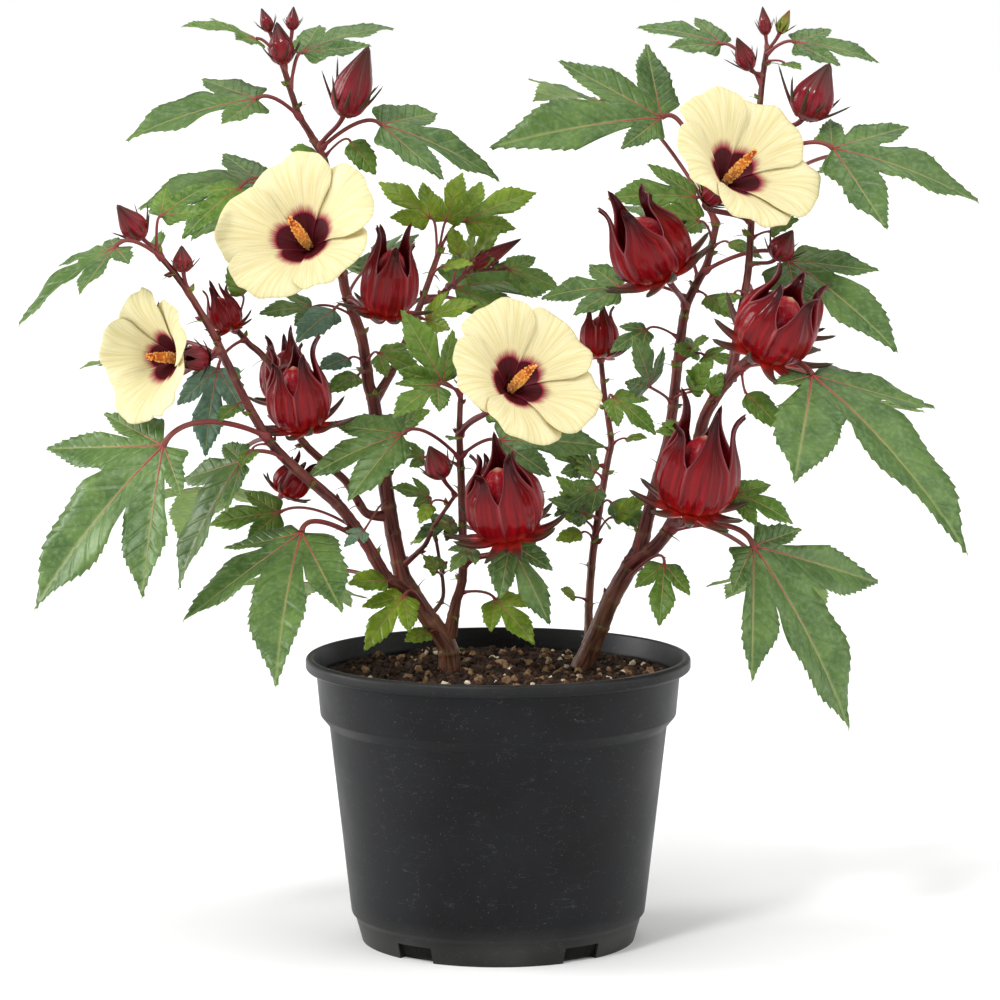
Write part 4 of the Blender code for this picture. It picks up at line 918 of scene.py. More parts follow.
def fleshy_finish(name, deep, bright, foot, tip, rib):
    """The glossy flesh of a calyx: streaked, paler at its foot, dark at its tips, with a pale margin."""
    made, tree, surface = new_finish(
        name, {"Roughness": 0.32, "Specular IOR Level": 0.06, "Coat Weight": 0.34, "Coat Roughness": 0.11,
               "Subsurface Weight": 0.05, "Subsurface Radius": (1.0, 0.1, 0.08), "Subsurface Scale": 0.002})
    at = put(tree, "ShaderNodeTexCoord").outputs["Object"]
    spot = put(tree, "ShaderNodeUVMap", uv_map="pattern")
    parts = put(tree, "ShaderNodeSeparateXYZ", {0: spot}).outputs
    drawn = put(tree, "ShaderNodeMapping", {0: spot, "Scale": (15.0, 1.8, 1.0)})
    moved = put(tree, "ShaderNodeVectorMath", {0: drawn, 1: at}, operation="ADD")
    streaks = put(tree, "ShaderNodeTexNoise", {"Vector": moved, "Scale": 1.0, "Detail": 4})
    body = tinted(tree, streaks, 0.26, 0.72, deep, bright)
    footed = tinted(tree, parts["Y"], 0.17, 0.02, body, foot, 0.75)
    tipped = tinted(tree, parts["Y"], 0.40, 0.88, footed, tip, 0.92)
    own = put(tree, "ShaderNodeMath", {0: parts["X"]}, operation="FRACT")
    off = put(tree, "ShaderNodeMath", {0: own, 1: 0.5}, operation="SUBTRACT")
    aside = put(tree, "ShaderNodeMath", {0: off}, operation="ABSOLUTE")
    margin = put(tree, "ShaderNodeMapRange", {0: aside, 1: 0.46, 2: 0.495, 4: 0.7})
    high_up = put(tree, "ShaderNodeMapRange", {0: parts["Y"], 1: 0.12, 2: 0.5})
    rim = put(tree, "ShaderNodeMath", {0: margin, 1: high_up}, operation="MULTIPLY")
    ribbed = put(tree, "ShaderNodeMix", {0: rim, 6: tipped, 7: linear(rib)}, data_type="RGBA")
    tree.links.new(ribbed.outputs[2], surface.inputs["Base Color"])
    relief = put(tree, "ShaderNodeBump", {"Height": streaks, "Strength": 0.5, "Distance": 0.0012}).outputs[0]
    tree.links.new(relief, surface.inputs["Normal"])
    return made


def graded_finish(name, stops, roughness, patterned=False):
    """A skin whose colour runs from foot to tip, by the mark attribute of rods or else by the pattern's Y."""
    made, tree, surface = new_finish(name, {"Roughness": roughness, "Specular IOR Level": 0.32})
    if patterned:
        spot = put(tree, "ShaderNodeUVMap", uv_map="pattern")
        share = put(tree, "ShaderNodeSeparateXYZ", {0: spot}).outputs["Y"]
    else:
        share = put(tree, "ShaderNodeAttribute", attribute_name="mark").outputs["Fac"]
    at = put(tree, "ShaderNodeTexCoord").outputs["Object"]
    cloud = put(tree, "ShaderNodeTexNoise", {"Vector": at, "Scale": 1 / 0.004, "Detail": 3})
    sway = put(tree, "ShaderNodeMath", {0: cloud, 1: 0.3, 2: share}, operation="MULTIPLY_ADD")
    ramp = put(tree, "ShaderNodeValToRGB", {0: sway})
    ramp.color_ramp.elements[0].position = stops[0][0]
    ramp.color_ramp.elements[0].color = linear(stops[0][1])
    ramp.color_ramp.elements[1].position = stops[-1][0]
    ramp.color_ramp.elements[1].color = linear(stops[-1][1])
    for position, colour in stops[1:-1]:
        ramp.color_ramp.elements.new(position).color = linear(colour)
    tree.links.new(ramp.outputs[0], surface.inputs["Base Color"])
    return made


calyx_flesh = fleshy_finish("ripe_calyx_flesh", "#4e030a", "#9c0b16", "#c22c18", "#2c0c10", "#8c5256")
calyx_lining = fleshy_finish("calyx_lining", "#4a050b", "#8f121b", "#8c1a20", "#3a1014", "#7a3a40")
capsule_skin, nodes, shader = new_finish("seed_capsule_skin", {"Roughness": 0.32, "Specular IOR Level": 0.2})
spot = put(nodes, "ShaderNodeUVMap", uv_map="pattern")
rise = put(nodes, "ShaderNodeSeparateXYZ", {0: spot}).outputs["Y"]
here = put(nodes, "ShaderNodeTexCoord").outputs["Object"]
dots = put(nodes, "ShaderNodeTexNoise", {"Vector": here, "Scale": 1 / 0.0016, "Detail": 2})
skin = tinted(nodes, dots, 0.52, 0.66, "#8c0f1c", "#b83a42", 0.6)
nodes.links.new(tinted(nodes, rise, 0.95, 1.0, skin, "#c9b48a", 0.7), shader.inputs["Base Color"])
bract_skin = graded_finish("fleshy_bract_skin", ((0.05, "#cb3a1d"), (0.36, "#b0221c"), (0.64, "#5a211c"),
                                                 (1.0, "#3d3320")), 0.34, patterned=True)
stalk_skin = graded_finish("young_stalk_skin", ((0.0, "#5f2426"), (0.45, "#7b2f32"), (1.0, "#7d4f3c")), 0.38)

draw = random.Random(21)
sepals = Store()
capsules = Store()
bracts = Store()
fruit_stalks = []
for stem_name, rows in CALYCES.items():
    stem = STEM_OF[stem_name]
    for joint, foot, tip, half_width in rows:
        foot, tip = placed(*foot), placed(*tip)
        wide = half_width * MM
        length = (tip - foot).length
        ahead = (tip - foot).normalized()
        sepal_sheets(sepals, foot, ahead, length, wide, draw)
        ovoid(capsules, foot + ahead * length * 0.1, ahead, length * 0.62, wide * 0.62,
              ((0.0, 0.5), (0.4, 1.0), (0.8, 0.66), (0.94, 0.30), (1.0, 0.06)), 20, 12, 5, 0.12)
        fruit_stalks.append(stalk(stem, joint, foot + ahead * length * 0.03, ahead, 0.0011 + wide * 0.03))
        side, up = across_of(ahead)
        for n in range(BRACTS):
            turn = math.tau * n / BRACTS + 0.3 + draw.uniform(-0.08, 0.08)
            out = around(side, up, turn)
            start = foot + ahead * length * 0.025 + out * wide * 0.36
            way = out * 1.2 - ahead * draw.uniform(-0.05, 0.2)
            bend = ahead * draw.uniform(0.15, 0.65) - out * 0.1
            claw(bracts, start, way, bend, wide * draw.uniform(0.95, 1.25), wide * 0.22, wide * 0.12)
        KEPT.add([foot + ahead * length * share for share in (0.2, 0.5, 0.8)], wide * 1.1, stem.name)
sepal_piece = sepals.piece("calyx_sepals", [calyx_flesh, calyx_lining], weld=SEAM)
hand_over(sepal_piece, "calyx_flesh", "calyx_low_right")
hand_over(capsules.piece("seed_capsules", [capsule_skin]), "calyx_flesh")

# The buds. Pointed, still wrapped in their dark maroon sepals, with a ring of slim bracts pressed to
# their sides. The smallest, at the shoot tips, are still green.

BUD_LINE = ((0.0, 0.40), (0.12, 0.82), (0.30, 1.0), (0.48, 0.93), (0.68, 0.62), (0.85, 0.32), (1.0, 0.08))
BUD_BRACTS = 8
GREEN_BUD = 3.9
BUDS = {
    "tall_left": [(473, (-91, 40, 492), (-76, 25, 533), 12), (520, (-126, 58, 522), (-130, 60, 547), 8),
                  (516, (-134, 62, 541), (-139, 64, 555), 4), (518, (-121, 55, 542), (-120, 54, 556), 4)],
    "outer_left": [(414, (-210, -72, 420), (-225, -80, 440), 8), (388, (-186, -66, 400), (-187, -66, 416), 6)],
    "bright_side": [(400, (-16, 94, 403), (14, 95, 420), 5)],
    "front_twig": [(267, (-33, -40, 278), (-41, -48, 297), 8)],
    "centre": [(331, (-21, -17, 332), (-20, -19, 341), 4)],
    "top_right": [(485, (179, 30, 490), (195, 25, 523), 13), (515, (148, 44, 519), (140, 36, 538), 6),
                  (531, (157, 50, 539), (155, 52, 556), 4), (528, (165, 52, 540), (171, 54, 554), GREEN_BUD),
                  (404, (164, 0, 408), (174, -8, 425), 8)],
}

bud_skin = fleshy_finish("closed_bud_sepals", "#4a0c15", "#94202b", "#5c2a1e", "#3a2018", "#5a4a34")
green_bud_skin = fleshy_finish("green_bud_sepals", "#5c6b20", "#8a9630", "#7d8a3a", "#7a3a28", "#9aa050")
buds = Store()
for stem_name, rows in BUDS.items():
    stem = STEM_OF[stem_name]
    for joint, foot, tip, half_width in rows:
        foot, tip = placed(*foot), placed(*tip)
        wide = half_width * MM
        length = (tip - foot).length
        ahead = (tip - foot).normalized()
        before = len(buds.faces)
        ovoid(buds, foot, ahead, length, wide, BUD_LINE, 40, 16, 5, 0.13, 0.35)
        if half_width == GREEN_BUD:
            buds.kinds[before:] = [1] * (len(buds.faces) - before)
        fruit_stalks.append(stalk(stem, joint, foot + ahead * length * 0.04, ahead, 0.0008 + wide * 0.05))
        side, up = across_of(ahead)
        for n in range(BUD_BRACTS):
            turn = math.tau * n / BUD_BRACTS + draw.uniform(-0.12, 0.12)
            out = around(side, up, turn)
            start = foot + ahead * length * 0.03 + out * wide * 0.35
            way = out * (1.15 * wide / (length * 0.55)) + ahead * 0.45
            bend = ahead * 0.45 + out * draw.uniform(-0.15, 0.25)
            claw(bracts, start, way, bend, length * draw.uniform(0.48, 0.66), wide * 0.21, wide * 0.10, 0.34)
        shape_line = [foot + ahead * length * share for share in (0.0, 0.28, 0.62, 1.0)]
        KEPT.add(shape_line, wide * 1.1, stem.name)

# The flowers. Each lasts a day: five broad overlapping petals of thin cream, faintly veined, with a
# dark maroon eye, on a dark cup of young sepals. The stamens stand in a golden sleeve round the style.

PETALS = 5
PETAL_COLUMNS = 24
PETAL_ROWS = 22
EYE_ROWS = 8
FUNNEL_CURVE = 0.6
PETAL_HALF = (36, 50)
PETAL_ROUND = 0.34
PINWHEEL = 0.06
PETAL_THICK = 0.0004
CUP_LONG = 0.024
CUP_HALF = 0.0072
CUP_BACK = 0.010
STALK_BACK = 0.011
CUP_BRACT = (0.0125, 0.0016, 0.0006)
ANTHER = 0.0015
ANTHERS_PER_AREA = 330000
COLUMN_STEPS = 14
COLUMN = (0.16, 0.85)

# Height of the joint, foot, the way it looks, radius, and depth of the bowl in radii.
FLOWERS = {
    "tall_left": [(398, (-109, -18, 411), (-0.3, -0.79, 0.535), 49, 0.75),
                  (440, (-116, 96, 418), (-0.2, 0.93, 0.3), 38, 0.62)],
    "outer_left": [(355, (-181, -66, 349), (-0.74, -0.66, 0.08), 39, 1.0)],
    "centre": [(303, (4, -69, 327), (0.42, -0.75, 0.51), 46.5, 0.75)],
    "top_right": [(430, (129, -5, 448), (0.5, -0.64, 0.585), 49, 0.8),
                  (445, (141, 83, 459), (0.3, 0.9, 0.3), 36, 0.62)],
}


class Bowl:
    """The open bowl that a flower's petals lie on."""

    def __init__(self, foot, look, radius, depth):
        self.foot = foot
        self.radius = radius
        self.depth = depth * radius
        self.ahead = Vector(look).normalized()
        self.side, self.up = across_of(self.ahead)

    def at(self, reach, turn, lift=0.0):
        """The point at an angle round the flower: reach runs from 0 in the throat to 1 at the rim."""
        out = around(self.side, self.up, turn)
        ahead = self.depth * reach ** FUNNEL_CURVE + lift
        return self.foot + self.ahead * ahead + out * self.radius * reach


def petal(store, bowl, number, draw):
    """One petal: a thin sheet with a rounded ruffled rim, one edge over and the other under its neighbours."""
    middle = math.tau * number / PETALS
    phase = draw.uniform(0, math.tau)
    full = draw.uniform(0.985, 1.0)
    corners = []
    for row in range(PETAL_ROWS + 1):
        for column in range(PETAL_COLUMNS + 1):
            u = 2 * column / PETAL_COLUMNS - 1
            rim = full * (1 - PETAL_ROUND * abs(u) ** 3.6)
            rim += 0.014 * math.sin(7 * u + phase) + 0.008 * math.sin(17 * u + 3 * phase)
            eye = 0.335 - 0.065 * abs(u) ** 2.5
            if row <= EYE_ROWS:
                reach = 0.02 + (eye - 0.02) * row / EYE_ROWS
            else:
                reach = eye + (rim - eye) * ((row - EYE_ROWS) / (PETAL_ROWS - EYE_ROWS)) ** 0.9
            half = math.radians(PETAL_HALF[0] + (PETAL_HALF[1] - PETAL_HALF[0]) * reach)
            outer = max(0.0, (reach - 0.55) / 0.45)
            lift = PINWHEEL * u * reach + 0.055 * outer * math.sin(3.4 * u + phase)
            lift += 0.030 * outer ** 1.5 * math.sin(12 * u + 2 * phase) - 0.11 * outer ** 3
            lift += 0.012 * math.cos(u * math.pi) * min(1.0, reach * 3)
            corners.append(bowl.at(reach, middle + u * half, lift * bowl.radius))
    wide = PETAL_COLUMNS + 1
    faces = []
    for row in range(PETAL_ROWS):
        for column in range(PETAL_COLUMNS):
            a = row * wide + column
            faces.append((a, a + 1, a + 1 + wide, a + wide))
    places = [[(n % wide / PETAL_COLUMNS, n // wide / PETAL_ROWS) for n in face] for face in faces]
    kinds = [1 if face[0] // wide < EYE_ROWS else 0 for face in faces]
    store.add(corners, faces, places, kinds)


# Petal: thin cream tissue that lets light through, with fine veins that fan out from the throat and a
# flush of pink where it leaves the eye. The pattern runs across (X) and from throat to rim (Y).
petal_cream, nodes, shader = new_finish("cream_petal", {
    "Roughness": 0.6, "Specular IOR Level": 0.15, "Subsurface Weight": 0.2, "Subsurface Scale": 0.0015,
    "Subsurface Radius": (1.0, 0.85, 0.4)})
spot = put(nodes, "ShaderNodeUVMap", uv_map="pattern")
parts = put(nodes, "ShaderNodeSeparateXYZ", {0: spot}).outputs
here = put(nodes, "ShaderNodeTexCoord").outputs["Object"]
fan = put(nodes, "ShaderNodeMapping", {0: spot, "Scale": (44.0, 2.0, 1.0)})
veins = put(nodes, "ShaderNodeTexNoise", {"Vector": fan, "Scale": 1.0, "Detail": 4, "Distortion": 0.3})
cream = tinted(nodes, veins, 0.38, 0.62, "#d7ca95", "#e4dab0")
eye_edge = EYE_ROWS / PETAL_ROWS
frayed = put(nodes, "ShaderNodeMapRange", {0: veins, 1: 0.3, 2: 0.7, 3: 0.02, 4: 0.13})
from_eye = put(nodes, "ShaderNodeMath", {0: parts["Y"], 1: eye_edge}, operation="SUBTRACT")
near_eye = put(nodes, "ShaderNodeMath", {0: from_eye, 1: frayed}, operation="DIVIDE")
nodes.links.new(tinted(nodes, near_eye, 1.0, 0.1, cream, "#93203f"), shader.inputs["Base Color"])
bump = put(nodes, "ShaderNodeBump", {"Height": veins, "Strength": 0.6, "Distance": 0.0009}).outputs[0]
nodes.links.new(bump, shader.inputs["Normal"])

petal_eye, nodes, shader = new_finish("maroon_petal_eye", {"Roughness": 0.5, "Specular IOR Level": 0.15})
spot = put(nodes, "ShaderNodeUVMap", uv_map="pattern")
parts = put(nodes, "ShaderNodeSeparateXYZ", {0: spot}).outputs
fan = put(nodes, "ShaderNodeMapping", {0: spot, "Scale": (30.0, 2.0, 1.0)})
veins = put(nodes, "ShaderNodeTexNoise", {"Vector": fan, "Scale": 1.0, "Detail": 4})
wine = tinted(nodes, veins, 0.35, 0.65, "#30040a", "#560917")
off = put(nodes, "ShaderNodeMath", {0: parts["X"], 1: 0.5}, operation="SUBTRACT")
aside = put(nodes, "ShaderNodeMath", {0: off}, operation="ABSOLUTE")
nodes.links.new(tinted(nodes, aside, 0.44, 0.50, wine, "#9a3050", 0.6), shader.inputs["Base Color"])

pollen, nodes, shader = new_finish("golden_anthers", {"Roughness": 0.7, "Subsurface Weight": 0.1,
                                                       "Subsurface Scale": 0.001})
here = put(nodes, "ShaderNodeTexCoord").outputs["Object"]
ripeness = put(nodes, "ShaderNodeTexNoise", {"Vector": here, "Scale": 1 / 0.003, "Detail": 1})
nodes.links.new(tinted(nodes, ripeness, 0.35, 0.65, "#dd8a26", "#f3bc62"), shader.inputs["Base Color"])
column_skin = graded_finish("style_column", ((0.0, "#c8607a"), (0.35, "#e0a060"), (0.8, "#d9772c"),
                                             (1.0, "#a83a18")), 0.5)

petals = Store()
flower_cups = Store()
columns = []
for stem_name, rows in FLOWERS.items():
    stem = STEM_OF[stem_name]
    for joint, foot, look, radius, depth in rows:
        foot = placed(*foot)
        bowl = Bowl(foot, look, radius * MM, depth)
        ahead = bowl.ahead
        for number in range(PETALS):
            petal(petals, bowl, number, draw)
        sepal_sheets(flower_cups, foot - ahead * CUP_BACK, ahead, CUP_LONG, CUP_HALF, draw, (0.3, 0.7), 0.08)
        fruit_stalks.append(stalk(stem, joint, foot - ahead * STALK_BACK, ahead, 0.0017))
        for n in range(BRACTS):
            turn = math.tau * n / BRACTS + draw.uniform(-0.1, 0.1)
            out = around(bowl.side, bowl.up, turn)
            claw(bracts, foot - ahead * STALK_BACK + out * 0.002, out * 0.8 + ahead * 0.3,
                 ahead * 0.35 + out * draw.uniform(-0.1, 0.2), *CUP_BRACT, 0.45)
        rows_of_column = []
        for n in range(COLUMN_STEPS + 1):
            t = n / COLUMN_STEPS
            share = COLUMN[0] + (COLUMN[1] - COLUMN[0]) * t
            swell = 0.0021 + 0.0009 * math.sin(math.pi * min(1.0, t * 1.1)) - 0.0009 * t ** 3
            rows_of_column.append((foot + ahead * bowl.radius * share, swell, t))
        columns.append(rows_of_column)
        for share in (0.3, 0.6, 0.95):
            KEPT.add([bowl.at(share, math.tau * n / 8) for n in range(8)], 0.008, stem.name)
hand_over(flower_cups.piece("flower_cups", [bud_skin, bud_skin], weld=SEAM), "calyx_flesh")
petal_piece = petals.piece("petals", [petal_cream, petal_eye])
thickness = petal_piece.modifiers.new("thickness", "SOLIDIFY")
thickness.thickness = PETAL_THICK
thickness.offset = 0.0
hand_over(petal_piece, "foliage")
column_piece = rods("stamen_columns", columns, STALK_SIDES, 0.0, 1.0, column_skin)
grains = rough_lumps("anther_shapes", 3, (1.0, 0.8, 0.7), 9, 0.12)
anthers = run_tree("anthers", add_object("anthers", column_piece.data.copy()), strewing, Shapes=grains,
                   Density=ANTHERS_PER_AREA, Smallest=ANTHER, Largest=ANTHER * 1.5, Seed=3, Finish=pollen)
drop_group(grains)
hand_over(column_piece, "foliage")
hand_over(anthers, "foliage")

# The side shoots. By the scars of old leaves stand one or two unfolding leaves, no longer than a grain
# of rice, and higher up a tiny bud beside them. They are soft and green and sit right on the bark.

BUDS_ABOVE = 0.2
SHOOT_LONG, SHOOT_HALF, SHOOT_THICK = 0.0062, 0.0014, 0.0003
SHOOT_ASIDE = 0.7
SHOOT_CHANCE = 0.7
SHOOT_BUD_LONG, SHOOT_BUD_HALF = 0.0048, 0.0014

shoot_skin = graded_finish("young_shoot_skin", ((0.05, "#8c8440"), (0.5, "#587c2a"), (1.0, "#41661f")), 0.42,
                           patterned=True)
shoots = Store()
turn = 0.0
for spot, way, radius in knobs:
    side, up = across_of(way)
    turn += draw.uniform(2.0, 2.8)
    out = around(side, up, turn)
    size = draw.uniform(0.8, 1.25)
    for aside in (-SHOOT_ASIDE, SHOOT_ASIDE):
        if draw.random() < SHOOT_CHANCE:
            leaflet = around(side, up, turn + aside)
            claw(shoots, spot + leaflet * radius * 0.8, leaflet * 0.8 + way * 0.6,
                 leaflet * 0.5 - Vector((0.0, 0.0, draw.uniform(0.2, 0.7))), SHOOT_LONG * size,
                 SHOOT_HALF * size, SHOOT_THICK)
    if spot.z > BUDS_ABOVE:
        before = len(buds.faces)
        ovoid(buds, spot + out * radius * 0.7, (out * 0.8 + way * 0.6).normalized(), SHOOT_BUD_LONG * size,
              SHOOT_BUD_HALF * size, BUD_LINE, 8, 6)
        buds.kinds[before:] = [draw.choice((0, 1, 1))] * (len(buds.faces) - before)
hand_over(shoots.piece("axillary_shoots", [shoot_skin]), "foliage")

# The buds, bracts and short stalks of all these are made in one piece each.
hand_over(buds.piece("buds", [bud_skin, green_bud_skin]), "calyx_flesh")
hand_over(bracts.piece("bracts", [bract_skin]), "calyx_flesh")
hand_over(rods("fruit_stalks", fruit_stalks, STALK_SIDES, 0.0002, 0.002, stalk_skin), "stem_bark")

# The leaves. Each is a thin palmate blade on a maroon stalk: one, three or five lobes with coarse
# teeth that point forward, sunk side veins, and a pale rib down each lobe, pink where it meets the
# stalk. Old leaves are dark green, young ones yellow-green, and some have a blue-grey bloom.

# The lobes of the usual leaves, and of some that have their own shape: angle and length. Then, by the
# number of lobes: where the margin starts beyond the outer lobes, half-widths, and depth of the notches.
LOBES = {
    1: ((0, 1.0),),
    3: ((-41, 0.62), (0, 1.0), (41, 0.62)),
    5: ((-90, 0.42), (-46, 0.66), (0, 1.0), (46, 0.66), (90, 0.42)),
    "far_left": ((-71, 0.30), (-41, 0.74), (0, 1.0), (51, 0.68), (75, 0.42)),
    "side_left": ((-33, 0.42), (0, 1.0), (61, 0.74), (91, 0.42)),
    "front_left": ((-27, 0.70), (0, 1.0), (47, 0.76), (91, 0.44)),
    "upper_left": ((-45, 0.44), (0, 1.0), (59, 0.62)),
    "back_left": ((-43, 0.86), (0, 1.0), (63, 0.58)),
    "broad": ((-39, 0.84), (0, 1.0), (36, 0.74)),
    "front_middle": ((-30, 0.56), (0, 1.0), (36, 0.66)),
    "upper_middle": ((-33, 0.36), (0, 1.0), (43, 0.66), (99, 0.58)),
    "upper_right": ((-95, 0.40), (-47, 0.68), (0, 1.0), (55, 0.76)),
    "far_right": ((-55, 0.62), (0, 1.0), (55, 0.74), (99, 0.22)),
    "front_right": ((-75, 0.34), (-49, 0.84), (0, 1.0), (43, 0.66), (69, 0.30)),
}
OUTER_SINUS = {1: (72, 0.20), 3: (64, 0.17), 4: (50, 0.13), 5: (50, 0.12)}
HALF_WIDTH = {1: 0.26, 3: 0.225, 4: 0.17, 5: 0.165}
SINUS_AT = {3: 0.46, 4: 0.36, 5: 0.36}
SINUS_MOST = 0.52         # of the shorter of the two lobes
SHOULDER_AT = 0.53
SHOULDER_ROOM = 0.45      # the most of the way to the next lobe that a shoulder takes up
ARCH = 0.10
CUP = 0.28
FOLD = 0.05
STALK_RISE = 0.25
STALK_THIN = 0.0006
STALK_GROWTH = 0.011
BLADE_THICK = 0.00036
RIB_STEPS = 16
RIB_SHARE = 0.97
LEAF_ROOM = 0.006
VEIN_SLANT = 1.05
QUILT = 0.011
WAVE = 0.018
TOOTH = 0.25
LEAF_KINDS = ("dark", "mid", "young", "blue")

# Height of the joint, foot of the blade, tip of the middle lobe, lobes, the way the upper side faces
# in degrees, round from the front and above the level, and the kind of leaf.
LEAVES = {
    "tall_left": [
        (520, (-142, 50, 537), (-186, 25, 544), 3, (-15, 66), "mid"),
        (491, (-142, 38, 502), (-220, 29, 477), "upper_left", (-20, 60), "dark"),
        (443, (-139, 75, 453), (-213, 71, 437), "back_left", (-50, 40), "dark"),
        (434, (-152, 18, 450), (-187, -5, 419), 3, (-15, 40), "mid"),
        (508, (-115, 62, 529), (-61, 100, 543), 3, (5, 74), "dark"),
        (467, (-87, 58, 477), (-72, 52, 457), 1, (-10, 40), "mid"),
        (472, (-69, 40, 487), (1, 70, 453), 3, (-10, 55), "dark"),
        (467, (-105, 45, 467), (-123, 30, 472), 1, (-10, 40), "mid"),
        (373, (-110, 18, 379), (-142, 6, 375), 3, (-10, 40), "dark"),
        (376, (-97, 12, 378), (-120, -8, 358), 1, (-10, 40), "blue"),
        (345, (-88, 18, 349), (-107, 5, 342), 1, (-10, 40), "blue"),
        (340, (-83, 10, 339), (-101, -5, 328), 1, (-10, 40), "mid"),
        (410, (-105, 90, 408), (-125, 170, 385), 5, (190, 40), "dark"),
        (385, (-70, 95, 405), (-60, 150, 420), 3, (185, 40), "dark"),
    ],
    "outer_left": [
        (290, (-152, -58, 288), (-191, -61, 210), "side_left", (-50, 40), "dark"),
        (302, (-199, -95, 297), (-277, -85, 198), "far_left", (0, 50), "dark"),
        (297, (-146, -52, 295), (-153, -66, 284), 1, (-15, 40), "mid"),
        (321, (-155, -60, 321), (-166, -74, 311), 1, (-15, 40), "mid"),
        (412, (-199, -64, 433), (-167, -40, 452), 3, (-20, 40), "mid"),
        (408, (-226, -90, 415), (-284, -97, 367), 5, (-30, 75), "dark"),
        (300, (-165, 30, 272), (-190, 110, 237), 5, (195, 40), "dark"),
        (345, (-205, 15, 352), (-218, 90, 335), 5, (200, 40), "dark"),
    ],
    "inner_left": [
        (366, (-151, 5, 386), (-160, 0, 404), 1, (-15, 40), "mid"),
        (360, (-166, -12, 343), (-174, -22, 290), 3, (-15, 40), "blue"),
        (340, (-112, 80, 335), (-122, 140, 320), 3, (190, 40), "dark"),
    ],
    "bright": [
        (410, (-40, 92, 432), (-71, 105, 453), 3, (-5, 40), "young"),
        (413, (-31, 98, 430), (-21, 115, 459), 3, (-5, 40), "young"),
        (412, (-20, 104, 430), (23, 125, 447), 3, (0, 40), "young"),
        (373, (-43, 60, 372), (-11, 50, 382), 3, (-5, 40), "young"),
        (385, (15, 150, 350), (25, 215, 320), 5, (180, 40), "dark"),
    ],
    "bright_side": [
        (398, (-17, 100, 406), (3, 92, 428), 3, (0, 40), "young"),
        (392, (-23, 88, 410), (-28, 92, 427), 1, (0, 40), "young"),
        (401, (6, 114, 402), (37, 128, 389), 3, (0, 40), "mid"),
        (388, (-26, 110, 391), (34, 160, 391), 3, (-5, 40), "mid"),
    ],
    "centre": [
        (228, (-16, -22, 236), (-29, -38, 221), 3, (0, 40), "dark"),
        (233, (7, -28, 239), (31, -41, 189), "front_middle", (0, 30), "dark"),
        (224, (-3, -8, 227), (-1, -14, 215), 1, (0, 40), "young"),
        (289, (-57, -34, 304), (-114, -25, 277), "broad", (-10, 50), "dark"),
        (326, (-36, -34, 333), (-63, -62, 313), 3, (-5, 40), "mid"),
        (328, (-33, -20, 334), (-58, -34, 378), 3, (-5, 40), "mid"),
        (290, (1, -22, 300), (64, -14, 296), 3, (0, 40), "dark"),
        (208, (-2, 0, 205), (22, -22, 177), 3, (0, 40), "young"),
        (262, (0, 80, 262), (12, 140, 262), 3, (180, 40), "dark"),
    ],
    "front_twig": [
        (262, (-40, -34, 262), (-47, -44, 250), 1, (-5, 40), "young"),
    ],
    "thin_twig": [
        (261, (-41, 20, 266), (-64, 10, 272), 3, (-5, 40), "mid"),
        (252, (-36, 28, 254), (-24, 30, 249), 1, (-5, 40), "mid"),
        (219, (-36, 12, 221), (-45, 4, 231), 1, (-5, 40), "young"),
    ],
    "inner_right": [
        (321, (90, 8, 332), (79, -16, 363), 3, (10, 30), "dark"),
        (384, (72, 48, 391), (25, 72, 384), 3, (10, 45), "dark"),
        (389, (123, 30, 386), (140, 15, 372), 1, (10, 40), "mid"),
        (400, (171, 22, 407), (237, -14, 352), 3, (20, 40), "dark"),
        (419, (119, 30, 430), (93, 15, 437), 3, (10, 40), "mid"),
        (426, (117, 45, 444), (64, 25, 443), 3, (10, 40), "mid"),
        (428, (96, 55, 491), (-6, 32, 473), "upper_middle", (-10, 30), "dark"),
        (324, (114, 10, 329), (127, -5, 347), 1, (10, 40), "mid"),
        (351, (114, 20, 355), (125, 8, 361), 1, (10, 40), "mid"),
        (395, (100, 110, 430), (95, 180, 430), 3, (170, 40), "dark"),
        (428, (60, 120, 500), (20, 190, 500), 3, (175, 60), "dark"),
    ],
    "outer_right": [
        (344, (147, -30, 328), (168, -36, 306), 1, (15, 40), "mid"),
        (343, (186, -60, 339), (280, -111, 231), "far_right", (0, 80), "dark"),
        (342, (200, 40, 325), (225, 120, 300), 5, (160, 40), "dark"),
    ],
    "top_right": [
        (419, (160, 12, 424), (178, 0, 431), 1, (15, 40), "mid"),
        (460, (197, 5, 473), (284, 9, 440), "upper_right", (30, 50), "dark"),
        (510, (131, 55, 534), (81, 75, 543), 3, (15, 60), "dark"),
        (523, (168, 42, 523), (178, 30, 519), 1, (15, 60), "mid"),
        (528, (174, 48, 535), (224, 58, 523), 3, (-10, 60), "dark"),
        (440, (210, 80, 465), (240, 150, 455), 5, (160, 40), "dark"),
    ],
    "slim_right": [
        (245, (52, 58, 252), (36, 66, 270), 3, (5, 40), "young"),
        (240, (68, 40, 254), (89, 30, 264), 1, (5, 40), "young"),
        (240, (50, 44, 245), (34, 38, 240), 1, (5, 40), "young"),
        (203, (46, 34, 206), (37, 26, 211), 1, (5, 40), "young"),
        (312, (68, 56, 326), (94, 46, 303), 3, (10, 40), "mid"),
    ],
}
